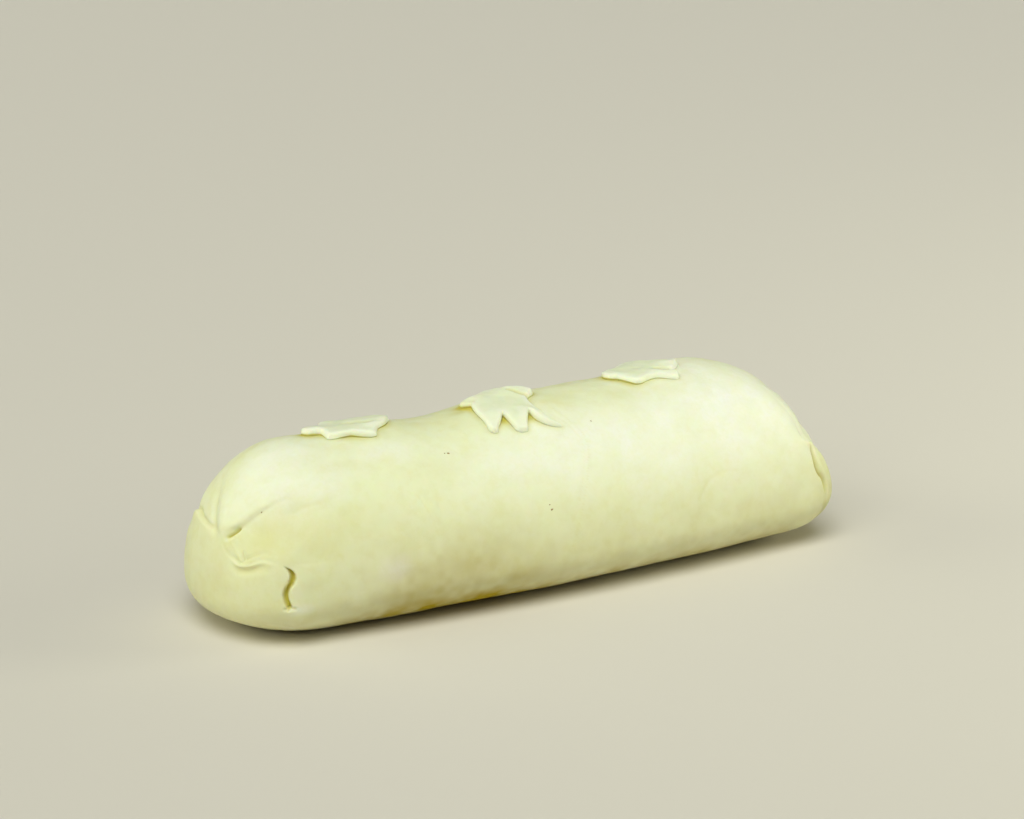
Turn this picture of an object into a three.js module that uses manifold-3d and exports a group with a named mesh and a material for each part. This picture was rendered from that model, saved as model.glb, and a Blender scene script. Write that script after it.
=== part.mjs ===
// An unbaked beef wellington: a whole fillet of beef wrapped in one rolled sheet of puff pastry.
// The sheet is gathered over each end and closed by a flap turned up from below, and three
// leaves cut from the same pastry lie along the crown.
// Millimetres, +Z up. X runs along the log, -Y is its front and Z = 0 is the board it rests on.

import * as THREE from "three";
import { mergeVertices } from "three/addons/utils/BufferGeometryUtils.js";
import Module from "manifold-3d";

// ---------------------------------------------------------------- driving dimensions

const SHEET = 3; // thickness of the rolled pastry

const LOG = {
  length: 294.8, // tip to tip of the wrapped fillet, under the end flaps
  width: 96.9, // across the belly at mid-length
  height: 81.5, // crown above the board
  belly: 22.3, // height of the widest line above the board
  pressed: 2.3, // how much of the round underside its own weight presses flat
  bow: 10, // how far the middle bows towards the front
  taper: 0.13, // the right end is this share wider than the middle, the left end narrower
  fullness: 2.24, // exponent of the end's rounding: 2 is a quarter ellipse, more is squarer
};

// Soft dips in the crown (a negative depth is a swell): where, how deep, and half their length.
const DIPS = [
  { x: -92, depth: 2.6, half: 22 },
  { x: -42, depth: 3.2, half: 19 },
  { x: 28, depth: -0.3, half: 16 },
  { x: 112, depth: 1.2, half: 14 },
];

// Each end: the lengths over which it rounds off along the crown, the flanks and the foot, how
// much higher than the belly its nose lies, the flap that closes it, and the creases that the
// gathered sheet leaves above the flap.
// Turns are degrees round an upright line inside the end, from straight out along the log (0)
// to the front (positive) or the back (negative). A crease runs through the points given, which
// are lengths in from the tip, across from the log's middle and up from the board.
const LEFT = {
  side: -1,
  crown: 49,
  flank: 33.3,
  foot: 40.5,
  nose: -3,
  flap: {
    frontTurn: 59.3,
    backTurn: -62,
    corner: 39, // height of the upper edge at the front corner
    height: 47, // height of the upper edge across the middle and the back
    step: { from: 29, to: 9 }, // turns between which the edge climbs from one to the other
    tip: 0, // how far the front corner sticks up
    wave: 2.1, // the front edge swings this many degrees in an S
  },
  creases: [
    { width: 7, deep: 3.2, shallow: 0.4, via: [[5, -17, 47], [8, -19.5, 51], [15.7, -26.6, 58], [42, -35, 65]] },
    { width: 6, deep: 1.3, shallow: 0.3, via: [[25.6, -34.6, 59], [37.5, -37.3, 61], [50, -38, 61]] },
    { width: 6, deep: 1.4, shallow: 0.3, via: [[9, -29, 41], [16, -34.5, 45], [26, -40, 48.5]] },
    { width: 6, deep: 1.5, shallow: 0.3, via: [[3.6, -8.6, 46.6], [5.5, -2.6, 53.5], [10.3, 12.5, 58.6]] },
    { width: 6, deep: 1.8, shallow: 0.3, via: [[6.7, 20, 47], [10, 24, 55], [17, 28, 62]] },
    { width: 6, deep: 1.7, shallow: 0.3, via: [[11, 31, 45], [17, 35, 53], [27, 39, 59]] },
  ],
};

const RIGHT = {
  side: 1,
  crown: 50.6,
  flank: 14.6,
  foot: 49.6,
  nose: 3.1,
  flap: {
    frontTurn: 62,
    backTurn: -60,
    corner: 43,
    height: 42,
    step: { from: 50, to: 30 },
    tip: 5,
    wave: 0.8,
  },
  creases: [
    { width: 7, deep: 2.4, shallow: 0.3, via: [[7, -12, 43], [10, -16, 52], [16, -20, 61], [27, -24, 70]] },
    { width: 7, deep: 2.2, shallow: 0.3, via: [[5, -2, 43], [8, 0, 53], [14, 3, 62]] },
    { width: 7, deep: 2.2, shallow: 0.3, via: [[6, 10, 43], [10, 15, 52], [18, 22, 60]] },
    { width: 6, deep: 1.6, shallow: 0.3, via: [[7, -27, 43], [10, -33, 50], [15, -39, 56.5]] },
    { width: 6, deep: 1.7, shallow: 0.3, via: [[8, 30, 42], [14, 35, 49], [24, 40, 54]] },
  ],
};

const NOSE_LENGTH = 40; // length of each end over which its widest line climbs to the nose

const FLAP = {
  hinge: 40, // how far inside the tip the upright line of the turns stands
  foot: 3, // the flap leaves the board at this height
  shown: 14, // and stands out by the whole thickness of the sheet at this height
  waveLength: 17, // height that the front edge's S takes
  rounding: 5, // rounding of the upper corners
  bury: 2.6, // how far its underside sinks into the wrapped end
};

const LEAF = {
  thickness: 2,
  rings: [0.3, 0.55, 0.76, 0.91, 1], // shares of the way from the leaf's middle to its cut edge
  spacing: 3, // longest step along the cut edge
  rounding: 1.2, // how far in from the edge the top starts to fall
  bed: 0.35, // gap between the leaf and the crown
};

// The leaves: where their middles lie (along the log, and over the crown towards the front), and
// their tips and notches as [along, towards the front, standing off the crown].
const LEAVES = [
  {
    name: "leaf_left",
    x: -83,
    over: -4,
    edge: [
      [24, -1.5, 0],
      [17.6, 7.6, 0.2],
      [9.6, 12, 0.2],
      [7.7, 15.2, 0.2],
      [5.1, 14.8, 0.2],
      [0.3, 11.5, 0.6],
      [-4.7, 11.4, 0.2],
      [-9.9, 11.6, 0.1],
      [-11.4, 8, 0.1],
      [-11.5, 3.4, 0.3],
      [-15.6, 2.4, 0.5],
      [-16.4, -1.4, 0.5],
      [-12, -6.5, 0.3],
      [-5.5, -8.8, 0.5],
      [-1.8, -15.5, 2.2],
      [3, -15, 1.6],
      [8, -17, 1.4],
      [10, -11, 0.6],
      [14, -6.0, 0],
    ],
  },
  {
    name: "leaf_middle",
    x: -9,
    over: 6,
    edge: [
      [11.5, -2.3, 0.3],
      [10, 7.2, 0.2],
      [11.9, 13, 0.1],
      [17, 20.5, 0],
      [10.1, 15.9, 0.2],
      [5.4, 12.3, 0.7],
      [1.2, 19.4, 0.2],
      [-3.2, 19.2, 0.2],
      [-6, 11.2, 0.8],
      [-11.4, 16, 0.2],
      [-15, 14.6, 0.2],
      [-16.3, 5, 0.3],
      [-14.4, -2.7, 0.6],
      [-15.5, -8.8, 1.0],
      [-8, -11.5, 1.3],
      [1, -18, 1.2],
      [8, -12, 2.0],
      [18, -7, 0.7],
    ],
  },
  {
    name: "leaf_right",
    x: 67,
    over: -3,
    edge: [
      [23.2, 1.6, 0],
      [12, 6, 0.3],
      [14.8, 12.2, 0.3],
      [13.6, 14.6, 0.2],
      [3.5, 13.2, 0.4],
      [-2, 13.6, 0.2],
      [-6.4, 14.6, 0.2],
      [-12, 6.9, 0.4],
      [-15.8, 2.2, 0.4],
      [-15.9, -3.6, 0.4],
      [-9.4, -8.6, 0.4],
      [-4, -11.5, 0.3],
      [3, -17, 1.0],
      [8.5, -16, 1.0],
      [11, -7, 0.3],
    ],
  },
];

const MESH = { around: 56, cap: 15, barrel: 15, flapAcross: 26, flapUp: 12 };

// ---------------------------------------------------------------- helpers

const radians = THREE.MathUtils.degToRad;
const smooth = THREE.MathUtils.smoothstep;
const mix = THREE.MathUtils.lerp;

/** Closed BufferGeometry from a list of [x, y, z] points and a list of point-number triples. */
function geometryOf(points, faces) {
  const made = new THREE.BufferGeometry();
  made.setAttribute("position", new THREE.Float32BufferAttribute(points.flat(), 3));
  made.setIndex(faces.flat());
  return made;
}

/** The two triangles of a four-cornered face. */
const quad = (a, b, c, d) => [[a, b, c], [a, c, d]];

// ---------------------------------------------------------------- the wrapped fillet

/** Length over which an end rounds off, at angle v round the log (0 back, 90 crown, 180 front). */
function rounding(end, v) {
  const up = Math.max(0, Math.sin(v)) ** 2;
  const down = Math.max(0, -Math.sin(v)) ** 2;
  return end.crown * up + end.foot * down + end.flank * Math.cos(v) ** 2;
}

/** Half-width, centre line, widest height and reach up and down of the log's section at x. */
function section(x) {
  const along = x / (LOG.length / 2);
  const nearTip = Math.max(0, 1 - (LOG.length / 2) * (1 - Math.abs(along)) / NOSE_LENGTH);
  const belly = LOG.belly + (x < 0 ? LEFT : RIGHT).nose * nearTip ** 2;
  const dips = DIPS.reduce((sum, d) => sum + d.depth * Math.exp(-(((x - d.x) / d.half) ** 2)), 0);
  return {
    half: (LOG.width / 2) * (1 + LOG.taper * along),
    centre: LOG.bow * (along * along - 1 / 3),
    belly,
    above: LOG.height - belly - dips,
    below: belly + LOG.pressed,
  };
}

/** The smooth skin of the log at station x and angle v, before folds and before the board. */
function skin(x, v) {
  const reach = rounding(x < 0 ? LEFT : RIGHT, v);
  const past = Math.min(1, Math.max(0, Math.abs(x) - (LOG.length / 2 - reach)) / reach);
  const girth = (1 - past ** LOG.fullness) ** (1 / LOG.fullness);
  const s = section(x);
  const rise = Math.sin(v) > 0 ? s.above : s.below;
  return new THREE.Vector3(
    x,
    s.centre + girth * Math.cos(v) * s.half,
    s.belly + girth * Math.sin(v) * rise,
  );
}

/** 1 on the smooth skin, less inside it and more outside. */
function depthOf(p) {
  const s = section(p.x);
  const across = (p.y - s.centre) / s.half;
  const up = (p.z - s.belly) / (p.z > s.belly ? s.above : s.below);
  const reach = rounding(p.x < 0 ? LEFT : RIGHT, Math.atan2(up, across));
  const past = Math.max(0, Math.abs(p.x) - (LOG.length / 2 - reach)) / reach;
  return (Math.hypot(across, up) ** LOG.fullness + past ** LOG.fullness) ** (1 / LOG.fullness);
}

/** Outward direction at a point on the skin. */
function outward(p) {
  const step = 0.2;
  const slope = (axis) => {
    const ahead = p.clone();
    const behind = p.clone();
    ahead[axis] += step;
    behind[axis] -= step;
    return depthOf(ahead) - depthOf(behind);
  };
  return new THREE.Vector3(slope("x"), slope("y"), slope("z")).normalize();
}

/** The creases of one end as points in the log's own place, each with its depth there. */
function creasesOf(end) {
  const tip = LOG.length / 2;
  const middle = section(end.side * tip).centre;
  const count = 24;
  return end.creases.map(({ width, deep, shallow, via }) => {
    const points = via.map(
      ([inwards, across, up]) => new THREE.Vector3(end.side * (tip - inwards), middle + across, up),
    );
    const run = new THREE.CatmullRomCurve3(points).getSpacedPoints(count);
    return { width, run: run.map((p, i) => ({ p, depth: mix(deep, shallow, i / count) })) };
  });
}

/** How far the creases press the skin in at a point. */
function creased(p, creases) {
  return creases.reduce((sum, crease) => {
    let near = { distance: Infinity, depth: 0 };
    for (const { p: q, depth } of crease.run) {
      const distance = p.distanceTo(q);
      if (distance < near.distance) near = { distance, depth };
    }
    return sum + near.depth * Math.max(0, 1 - near.distance / crease.width) ** 1.5;
  }, 0);
}

/** Stations along one lengthwise line of the skin, tip to tip, close together over the ends. */
function stations(v) {
  const half = LOG.length / 2;
  const line = [];
  for (const end of [LEFT, RIGHT]) {
    const reach = rounding(end, v);
    const cap = [];
    for (let i = 1; i <= MESH.cap; i += 1) {
      const turn = (Math.PI / 2) * (1 - i / MESH.cap);
      cap.push(end.side * (half - reach + reach * Math.sin(turn) ** (2 / LOG.fullness)));
    }
    line.push(end === LEFT ? cap : cap.reverse());
  }
  const [left, right] = line;
  const from = left[left.length - 1];
  const to = right[0];
  const barrel = [];
  for (let i = 1; i < MESH.barrel; i += 1) barrel.push(mix(from, to, i / MESH.barrel));
  return [...left, ...barrel, ...right];
}

/** The wrapped fillet: the sheet's skin with its gathers, pressed flat where it meets the board. */
function wrappedFillet() {
  const creases = [...creasesOf(LEFT), ...creasesOf(RIGHT)];
  const rings = stations(0).length;
  const points = [];
  const place = (p) => {
    const made = p.addScaledVector(outward(p), -creased(p, creases));
    points.push([made.x, made.y, Math.max(0, made.z)]);
  };
  const half = LOG.length / 2;
  place(skin(-half, 0));
  for (let j = 0; j < MESH.around; j += 1) {
    const v = (2 * Math.PI * j) / MESH.around;
    stations(v).forEach((x) => place(skin(x, v)));
  }
  place(skin(half, 0));
  const last = points.length - 1;
  const at = (i, j) => 1 + (j % MESH.around) * rings + i;
  const faces = [];
  for (let j = 0; j < MESH.around; j += 1) {
    faces.push([0, at(0, j + 1), at(0, j)], [last, at(rings - 1, j), at(rings - 1, j + 1)]);
    for (let i = 0; i + 1 < rings; i += 1)
      faces.push(...quad(at(i, j), at(i, j + 1), at(i + 1, j + 1), at(i + 1, j)));
  }
  return geometryOf(points, faces);
}

// ---------------------------------------------------------------- the end flaps

/** Height of a flap's upper edge at a turn, with its two corners rounded. */
function flapTop(flap, turn) {
  const share = (flap.frontTurn - turn) / (flap.frontTurn - flap.backTurn);
  const edge = mix(flap.height, flap.corner, smooth(turn, flap.step.to, flap.step.from));
  const fromCorner = Math.min(share, 1 - share) * 14;
  const tip = flap.tip * Math.exp(-(((flap.frontTurn - 2 - turn) / 6) ** 2));
  return edge + tip - FLAP.rounding * Math.max(0, 1 - fromCorner) ** 2;
}

/** Turn of a flap's front edge at a height: an upright S. */
function flapFront(flap, z) {
  return flap.frontTurn + flap.wave * Math.sin((2 * Math.PI * (flap.corner - z)) / FLAP.waveLength);
}

/** Where a level line drawn outwards from the end's upright line leaves the skin. */
function skinFrom(end, turn, z) {
  const middle = section(end.side * (LOG.length / 2 - FLAP.hinge)).centre;
  const out = new THREE.Vector3(end.side * Math.cos(radians(turn)), -Math.sin(radians(turn)), 0);
  const from = new THREE.Vector3(end.side * (LOG.length / 2 - FLAP.hinge), middle, z);
  let inside = 0;
  let outside = LOG.width;
  for (let i = 0; i < 40; i += 1) {
    const half = (inside + outside) / 2;
    if (depthOf(from.clone().addScaledVector(out, half)) < 1) inside = half;
    else outside = half;
  }
  return from.addScaledVector(out, inside);
}

/** A flap: a sheet turned up over the end, thick at its free edges and running out at its foot. */
function endFlap(end) {
  const { flapAcross: across, flapUp: up } = MESH;
  const { flap } = end;
  const points = [];
  for (const face of ["outer", "inner"]) {
    for (let i = 0; i <= across; i += 1) {
      const share = i / across;
      const top = flapTop(flap, mix(flap.frontTurn, flap.backTurn, share));
      for (let k = 0; k <= up; k += 1) {
        const z = mix(FLAP.foot, top, k / up);
        const turn = mix(flapFront(flap, z), flap.backTurn, share);
        const p = skinFrom(end, turn, z);
        const shown = smooth(z, FLAP.foot, FLAP.shown);
        const lift = face === "outer" ? mix(-1, SHEET * 0.9, shown) : -FLAP.bury;
        p.addScaledVector(outward(p), lift);
        points.push([p.x, p.y, Math.max(0.6, p.z)]);
      }
    }
  }
  const inner = (across + 1) * (up + 1);
  const at = (i, k) => i * (up + 1) + k;
  const faces = [];
  const add = (a, b, c, d) => faces.push(...(end === LEFT ? quad(d, c, b, a) : quad(a, b, c, d)));
  for (let i = 0; i < across; i += 1) {
    for (let k = 0; k < up; k += 1) {
      const corners = [at(i, k), at(i + 1, k), at(i + 1, k + 1), at(i, k + 1)];
      add(...corners);
      add(...corners.map((n) => n + inner).reverse());
    }
    add(at(i, up), at(i + 1, up), at(i + 1, up) + inner, at(i, up) + inner);
    add(at(i, 0) + inner, at(i + 1, 0) + inner, at(i + 1, 0), at(i, 0));
  }
  for (let k = 0; k < up; k += 1) {
    add(at(0, k), at(0, k + 1), at(0, k + 1) + inner, at(0, k) + inner);
    add(at(across, k) + inner, at(across, k + 1) + inner, at(across, k + 1), at(across, k));
  }
  return geometryOf(points, faces);
}

// ---------------------------------------------------------------- the leaves

/** A leaf's cut edge as [along, towards the front, standing off], in short straight steps. */
function cutEdge(corners) {
  return corners.flatMap((from, i) => {
    const to = corners[(i + 1) % corners.length];
    const steps = Math.ceil(Math.hypot(to[0] - from[0], to[1] - from[1]) / LEAF.spacing);
    return Array.from({ length: steps }, (_, k) => from.map((value, axis) => mix(value, to[axis], k / steps)));
  });
}

/** The skin's point under a place on the crown: x along the log, over = distance to the front. */
function crownPoint(x, over) {
  const bend = over / ((section(x).half + LOG.height - LOG.belly) / 2.15);
  return skin(x, Math.PI / 2 + bend);
}

/** A leaf laid over the crown, its tips standing off a little where the pastry stays stiff. */
function leaf({ x, over, edge }) {
  const outline = cutEdge(edge);
  const spokes = outline.length;
  const points = [];
  const place = ([along, front, off], share, top) => {
    const q = crownPoint(x + along * share, over + front * share);
    const inwards = Math.hypot(along, front) * (1 - share);
    const fall = 0.7 * Math.max(0, 1 - inwards / LEAF.rounding) ** 2;
    const height = LEAF.bed + off * share ** 2 + (top ? LEAF.thickness - fall : 0);
    points.push(q.addScaledVector(outward(q), height).toArray());
  };
  for (const top of [true, false]) {
    place([0, 0, 0], 0, top);
    for (const corner of outline) LEAF.rings.forEach((share) => place(corner, share, top));
  }
  const rings = LEAF.rings.length;
  const under = 1 + spokes * rings;
  const at = (j, i) => 1 + (j % spokes) * rings + i;
  const faces = [];
  for (let j = 0; j < spokes; j += 1) {
    faces.push([0, at(j + 1, 0), at(j, 0)], [under, under + at(j, 0), under + at(j + 1, 0)]);
    for (let i = 0; i + 1 < rings; i += 1) {
      const corners = [at(j, i), at(j + 1, i), at(j + 1, i + 1), at(j, i + 1)];
      faces.push(...quad(...corners), ...quad(...corners.map((n) => n + under).reverse()));
    }
    const [a, b] = [at(j, rings - 1), at(j + 1, rings - 1)];
    faces.push(...quad(a, b, under + b, under + a));
  }
  return geometryOf(points, faces);
}

// ---------------------------------------------------------------- joining

const wasm = await Module();
wasm.setup();

/** A closed geometry as a solid that can be joined. */
function solidOf(geometry) {
  geometry.deleteAttribute("normal");
  geometry.deleteAttribute("uv");
  const merged = mergeVertices(geometry, 1e-3);
  return new wasm.Manifold(
    new wasm.Mesh({
      numProp: 3,
      vertProperties: new Float32Array(merged.attributes.position.array),
      triVerts: new Uint32Array(merged.index.array),
    }),
  );
}

/** A joined solid as a geometry again. */
function geometryFrom(solid) {
  const mesh = solid.getMesh();
  const made = new THREE.BufferGeometry();
  made.setAttribute("position", new THREE.BufferAttribute(new Float32Array(mesh.vertProperties), 3));
  made.setIndex(new THREE.BufferAttribute(new Uint32Array(mesh.triVerts), 1));
  made.computeVertexNormals();
  return made;
}

// ---------------------------------------------------------------- the object

const dough = new THREE.MeshStandardMaterial({ name: "dough", color: 0xece9c0, roughness: 0.62, metalness: 0 });
const leafDough = new THREE.MeshStandardMaterial({ name: "leaf_dough", color: 0xeae8c6, roughness: 0.7, metalness: 0 });

/** A named mesh that casts and takes shadow. */
function piece(name, geometry, material) {
  const made = new THREE.Mesh(geometry, material);
  made.name = name;
  made.castShadow = true;
  made.receiveShadow = true;
  return made;
}

const parcelSolid = [LEFT, RIGHT].reduce(
  (solid, end) => solid.add(solidOf(endFlap(end))),
  solidOf(wrappedFillet()),
);

const wellington = new THREE.Group();
wellington.name = "beef_wellington";
wellington.add(piece("pastry_parcel", geometryFrom(parcelSolid), dough));
LEAVES.forEach((spec) => wellington.add(piece(spec.name, leaf(spec), leafDough)));

// The origin is the middle of the bounding box's underside.
const box = new THREE.Box3().setFromObject(wellington);
const middle = box.getCenter(new THREE.Vector3());
wellington.position.set(-middle.x, -middle.y, -box.min.z);

export default wellington;
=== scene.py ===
"""The looks of an unbaked beef wellington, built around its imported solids.

The wrapped fillet, its two folded ends and the three leaves on its crown are modelled again as
fine meshes over the same named sizes as the solids, and dressed as raw puff pastry.

Shapes are worked out in millimetres in the log's own place: X runs along the log, -Y is its
front, Z = 0 is the board, and x = 0 is its mid-length. Place.metres puts them into metres in
the part's frame. Angles round the log run from its back over its crown to its front.
"""

import logging
import math
from abc import ABC, abstractmethod
from dataclasses import dataclass
from enum import Enum
from itertools import product
from typing import Any, ClassVar, Sequence

import bpy
import numpy as np
from mathutils import Matrix, Vector
from mathutils.geometry import delaunay_2d_cdt


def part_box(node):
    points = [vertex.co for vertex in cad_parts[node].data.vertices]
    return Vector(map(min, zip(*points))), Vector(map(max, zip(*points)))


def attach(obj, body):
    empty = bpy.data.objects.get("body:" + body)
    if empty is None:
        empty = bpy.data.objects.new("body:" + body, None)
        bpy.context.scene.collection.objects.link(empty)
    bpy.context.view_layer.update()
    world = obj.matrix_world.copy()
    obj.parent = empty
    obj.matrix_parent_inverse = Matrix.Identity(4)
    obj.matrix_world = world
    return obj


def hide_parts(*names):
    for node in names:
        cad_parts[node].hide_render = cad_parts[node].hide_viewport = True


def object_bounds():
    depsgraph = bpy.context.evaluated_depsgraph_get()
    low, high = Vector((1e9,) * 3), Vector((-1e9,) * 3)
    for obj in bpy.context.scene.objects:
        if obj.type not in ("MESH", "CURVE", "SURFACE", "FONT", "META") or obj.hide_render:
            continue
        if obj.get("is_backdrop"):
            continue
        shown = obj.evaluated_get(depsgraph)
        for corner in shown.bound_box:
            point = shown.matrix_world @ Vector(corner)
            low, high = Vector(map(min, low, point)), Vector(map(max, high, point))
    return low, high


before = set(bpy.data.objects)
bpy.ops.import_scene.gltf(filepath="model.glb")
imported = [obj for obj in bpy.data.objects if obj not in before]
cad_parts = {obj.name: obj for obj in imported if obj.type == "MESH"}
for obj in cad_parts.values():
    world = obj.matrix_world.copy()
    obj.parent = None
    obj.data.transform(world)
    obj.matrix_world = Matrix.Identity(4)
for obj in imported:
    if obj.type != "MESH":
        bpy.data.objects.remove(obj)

LOG = logging.getLogger("wellington")
MM = 0.001
PARCEL_NODE = "pastry_parcel"

Array = np.ndarray
Pair = tuple[float, float]
Point = tuple[float, float, float]
# One layer of unevenness: its height, the distance between its swells, and its seed.
Wave = tuple[float, float, int]


class Slot(Enum):
    """Material slots of the record."""

    DOUGH = "dough"
    LEAF_DOUGH = "leaf_dough"


class Side(Enum):
    """Which end of the log, as the sign of its x."""

    LEFT = -1
    RIGHT = 1


# ---------------------------------------------------------------- shared arithmetic

# Large odd numbers that stir a cell's place into a number with no pattern.
STIR_CELL = np.array([73856093, 19349663, 83492791], dtype=np.uint64)
STIR_SEED = 2654435761
STIR_AGAIN = np.uint64(0xBF58476D1CE4E5B9)
LOW_BITS = np.uint64(0xFFFFFF)

# Fine steps that a curve takes from one given point to the next.
CURVE_STEPS = 12


def smooth(value: Array, low: float, high: float) -> Array:
    """Eased step: 0 at low, 1 at high, flat at both."""
    share = np.clip((value - low) / (high - low), 0.0, 1.0)
    return share * share * (3.0 - 2.0 * share)


def bell(value: Array, width: float) -> Array:
    """Rounded bump: 1 at 0, about a third at width."""
    return np.exp(-((value / width) ** 2))


def soft_least(first: Array, second: Array, round_off: float) -> Array:
    """Smaller of two distances, with the corner where they meet rounded off."""
    blend = np.clip(0.5 + 0.5 * (second - first) / round_off, 0.0, 1.0)
    return second * (1.0 - blend) + first * blend - round_off * blend * (1.0 - blend)


def rounded(share: Array) -> Array:
    """Quarter-round rise: 0 at 0, where it starts upright, and 1 from 1 on."""
    return np.sqrt(1.0 - (1.0 - np.clip(share, 0.0, 1.0)) ** 2)


def uneven(points: Array, size: float, seed: int) -> Array:
    """Smooth, unpatterned swell and dip from -1 to 1.

    Args:
        points: Places, one row each.
        size: Distance between one swell and the next, in the points' unit.
        seed: Picks one pattern out of many.

    Returns:
        One value per place.
    """
    scaled = points / size
    cell = np.floor(scaled).astype(np.int64)
    part = scaled - cell
    part = part * part * part * (part * (part * 6.0 - 15.0) + 10.0)
    total = np.zeros(len(points))
    for corner in product((0, 1), repeat=3):
        at = (cell + np.array(corner)).astype(np.uint64)
        mixed = np.bitwise_xor.reduce(at * STIR_CELL, axis=1) ^ np.uint64(seed * STIR_SEED)
        mixed ^= mixed >> np.uint64(29)
        mixed *= STIR_AGAIN
        mixed ^= mixed >> np.uint64(32)
        value = (mixed & LOW_BITS).astype(float) / float(LOW_BITS >> np.uint64(1)) - 1.0
        weight = np.where(np.array(corner) == 1, part, 1.0 - part).prod(axis=1)
        total += weight * value
    return total


def ripples(points: Array, layers: Sequence[Wave]) -> Array:
    """Adds up layers of unevenness, each as (height, size, seed)."""
    return sum(height * uneven(points, size, seed) for height, size, seed in layers)


def along_table(value: Array, table: Sequence[Pair]) -> Array:
    """Smooth curve through a few numbers, level beyond the first and the last.

    Args:
        value: Where the curve is read.
        table: The numbers, as (place, number) in order.

    Returns:
        The curve's number at each value.
    """
    at, number = np.array(table, dtype=float).T
    slope = np.gradient(number, at)
    held = np.clip(value, at[0], at[-1])
    i = np.clip(np.searchsorted(at, held, side="right") - 1, 0, len(at) - 2)
    gap = at[i + 1] - at[i]
    t = (held - at[i]) / gap
    rise = number[i] * (1 + 2 * t) * (1 - t) ** 2 + number[i + 1] * t * t * (3 - 2 * t)
    return rise + gap * (slope[i] * t * (1 - t) ** 2 - slope[i + 1] * t * t * (1 - t))


def table_slope(value: Array, table: Sequence[Pair]) -> Array:
    """Rise of the curve through a table over one unit around each value."""
    return along_table(value + 0.5, table) - along_table(value - 0.5, table)


def curve_through(points: Sequence[Point] | Array, count: int) -> Array:
    """Evenly spaced points on a smooth curve through a few given ones.

    Args:
        points: The points to pass through.
        count: How many points to return.

    Returns:
        The curve's points, one row each.
    """
    given = np.array(points, dtype=float)
    padded = np.vstack([2 * given[0] - given[1], given, 2 * given[-1] - given[-2]])
    fine = []
    for i in range(len(given) - 1):
        a, b, c, d = padded[i : i + 4]
        for t in np.linspace(0.0, 1.0, CURVE_STEPS, endpoint=False):
            bend = (2 * a - 5 * b + 4 * c - d) * t * t + (3 * b - a - 3 * c + d) * t**3
            fine.append(0.5 * (2 * b + (c - a) * t + bend))
    fine.append(given[-1])
    line = np.array(fine)
    run = np.concatenate([[0.0], np.cumsum(np.linalg.norm(np.diff(line, axis=0), axis=1))])
    at = np.linspace(0.0, run[-1], count)
    return np.stack([np.interp(at, run, line[:, axis]) for axis in range(line.shape[1])], axis=1)


def nearest_apart(places: Array, line: Array) -> Array:
    """Distance from each place to the nearest point of a line."""
    return np.linalg.norm(places[:, None] - line[None], axis=2).min(axis=1)


# ---------------------------------------------------------------- the log's sizes


@dataclass(frozen=True)
class Flap:
    """Sheet turned up over an end. Turns are degrees from straight out along the log to the front.

    Attributes:
        top: Its upper edge, as (turn, height) from the back to the front.
        front: Its front edge, as (height, turn) from the board up.
        back_turn: Turn of its back edge.
        level: Share of its thickness by which the dough beside the edge stands up too, by turn.
        thin: Share of its thickness at the free edge.
        bulge: Height, amount and half-height of the sag where it hangs fullest.
        lip: Amount of the roll along the free edge, by turn.
        slit: Half-width of the gap along the front edge, by height.
        gape: Depth of that gap.
        gap_shade: How deep the shade painted in the gap is, from 0 to 1.
        merged: Heights between which the edge comes to stand clear of the dough beside it.
    """

    top: tuple[Pair, ...]
    front: tuple[Pair, ...]
    back_turn: float
    level: tuple[Pair, ...]
    thin: float
    bulge: Point
    lip: tuple[Pair, ...]
    slit: tuple[Pair, ...]
    gape: float
    gap_shade: float = 1.0
    merged: Pair = (-2.0, -1.0)


@dataclass(frozen=True)
class Crease:
    """Fold line of the gathered sheet. One with negative depths is a ridge.

    Attributes:
        via: Points it runs through: in from the tip, across from the middle, up from the board.
            For a mark along the sheet: x along the log and degrees round it.
        depths: Depth where it starts and where it ends.
        widths: Width of its right side and of its left side, going along it on the end's outside.
        roll: How far the dough rolls up beside it, on its right side.
        crack: Width of a sharp slit along its bottom, or 0 for none.
        shade: How deep the shade painted in its bottom is, from 0 to 1.
    """

    via: tuple[tuple[float, ...], ...]
    depths: Pair
    widths: Pair = (3.0, 8.0)
    roll: float = 0.5
    crack: float = 0.0
    shade: float = 0.2


@dataclass(frozen=True)
class Swell:
    """Soft mound near an end, or a hollow where its height is negative.

    Attributes:
        middle: In from the tip, across from the middle, up from the board.
        height: How far it lifts the dough.
        size: Its half-width.
    """

    middle: Point
    height: float
    size: float


@dataclass(frozen=True)
class LogEnd:
    """One end of the log: how it rounds off, its flap and the creases above it.

    Attributes:
        side: Which end it is.
        crown: Length over which it rounds off at the crown.
        flank: The same at the front and the back.
        foot: The same at the underside.
        nose: How far the widest line climbs towards the tip.
        flap: The flap that closes it.
        creases: The gathers round the flap.
        swells: Mounds and hollows between them.
    """

    side: Side
    crown: float
    flank: float
    foot: float
    nose: float
    flap: Flap
    creases: tuple[Crease, ...]
    swells: tuple[Swell, ...]


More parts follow.
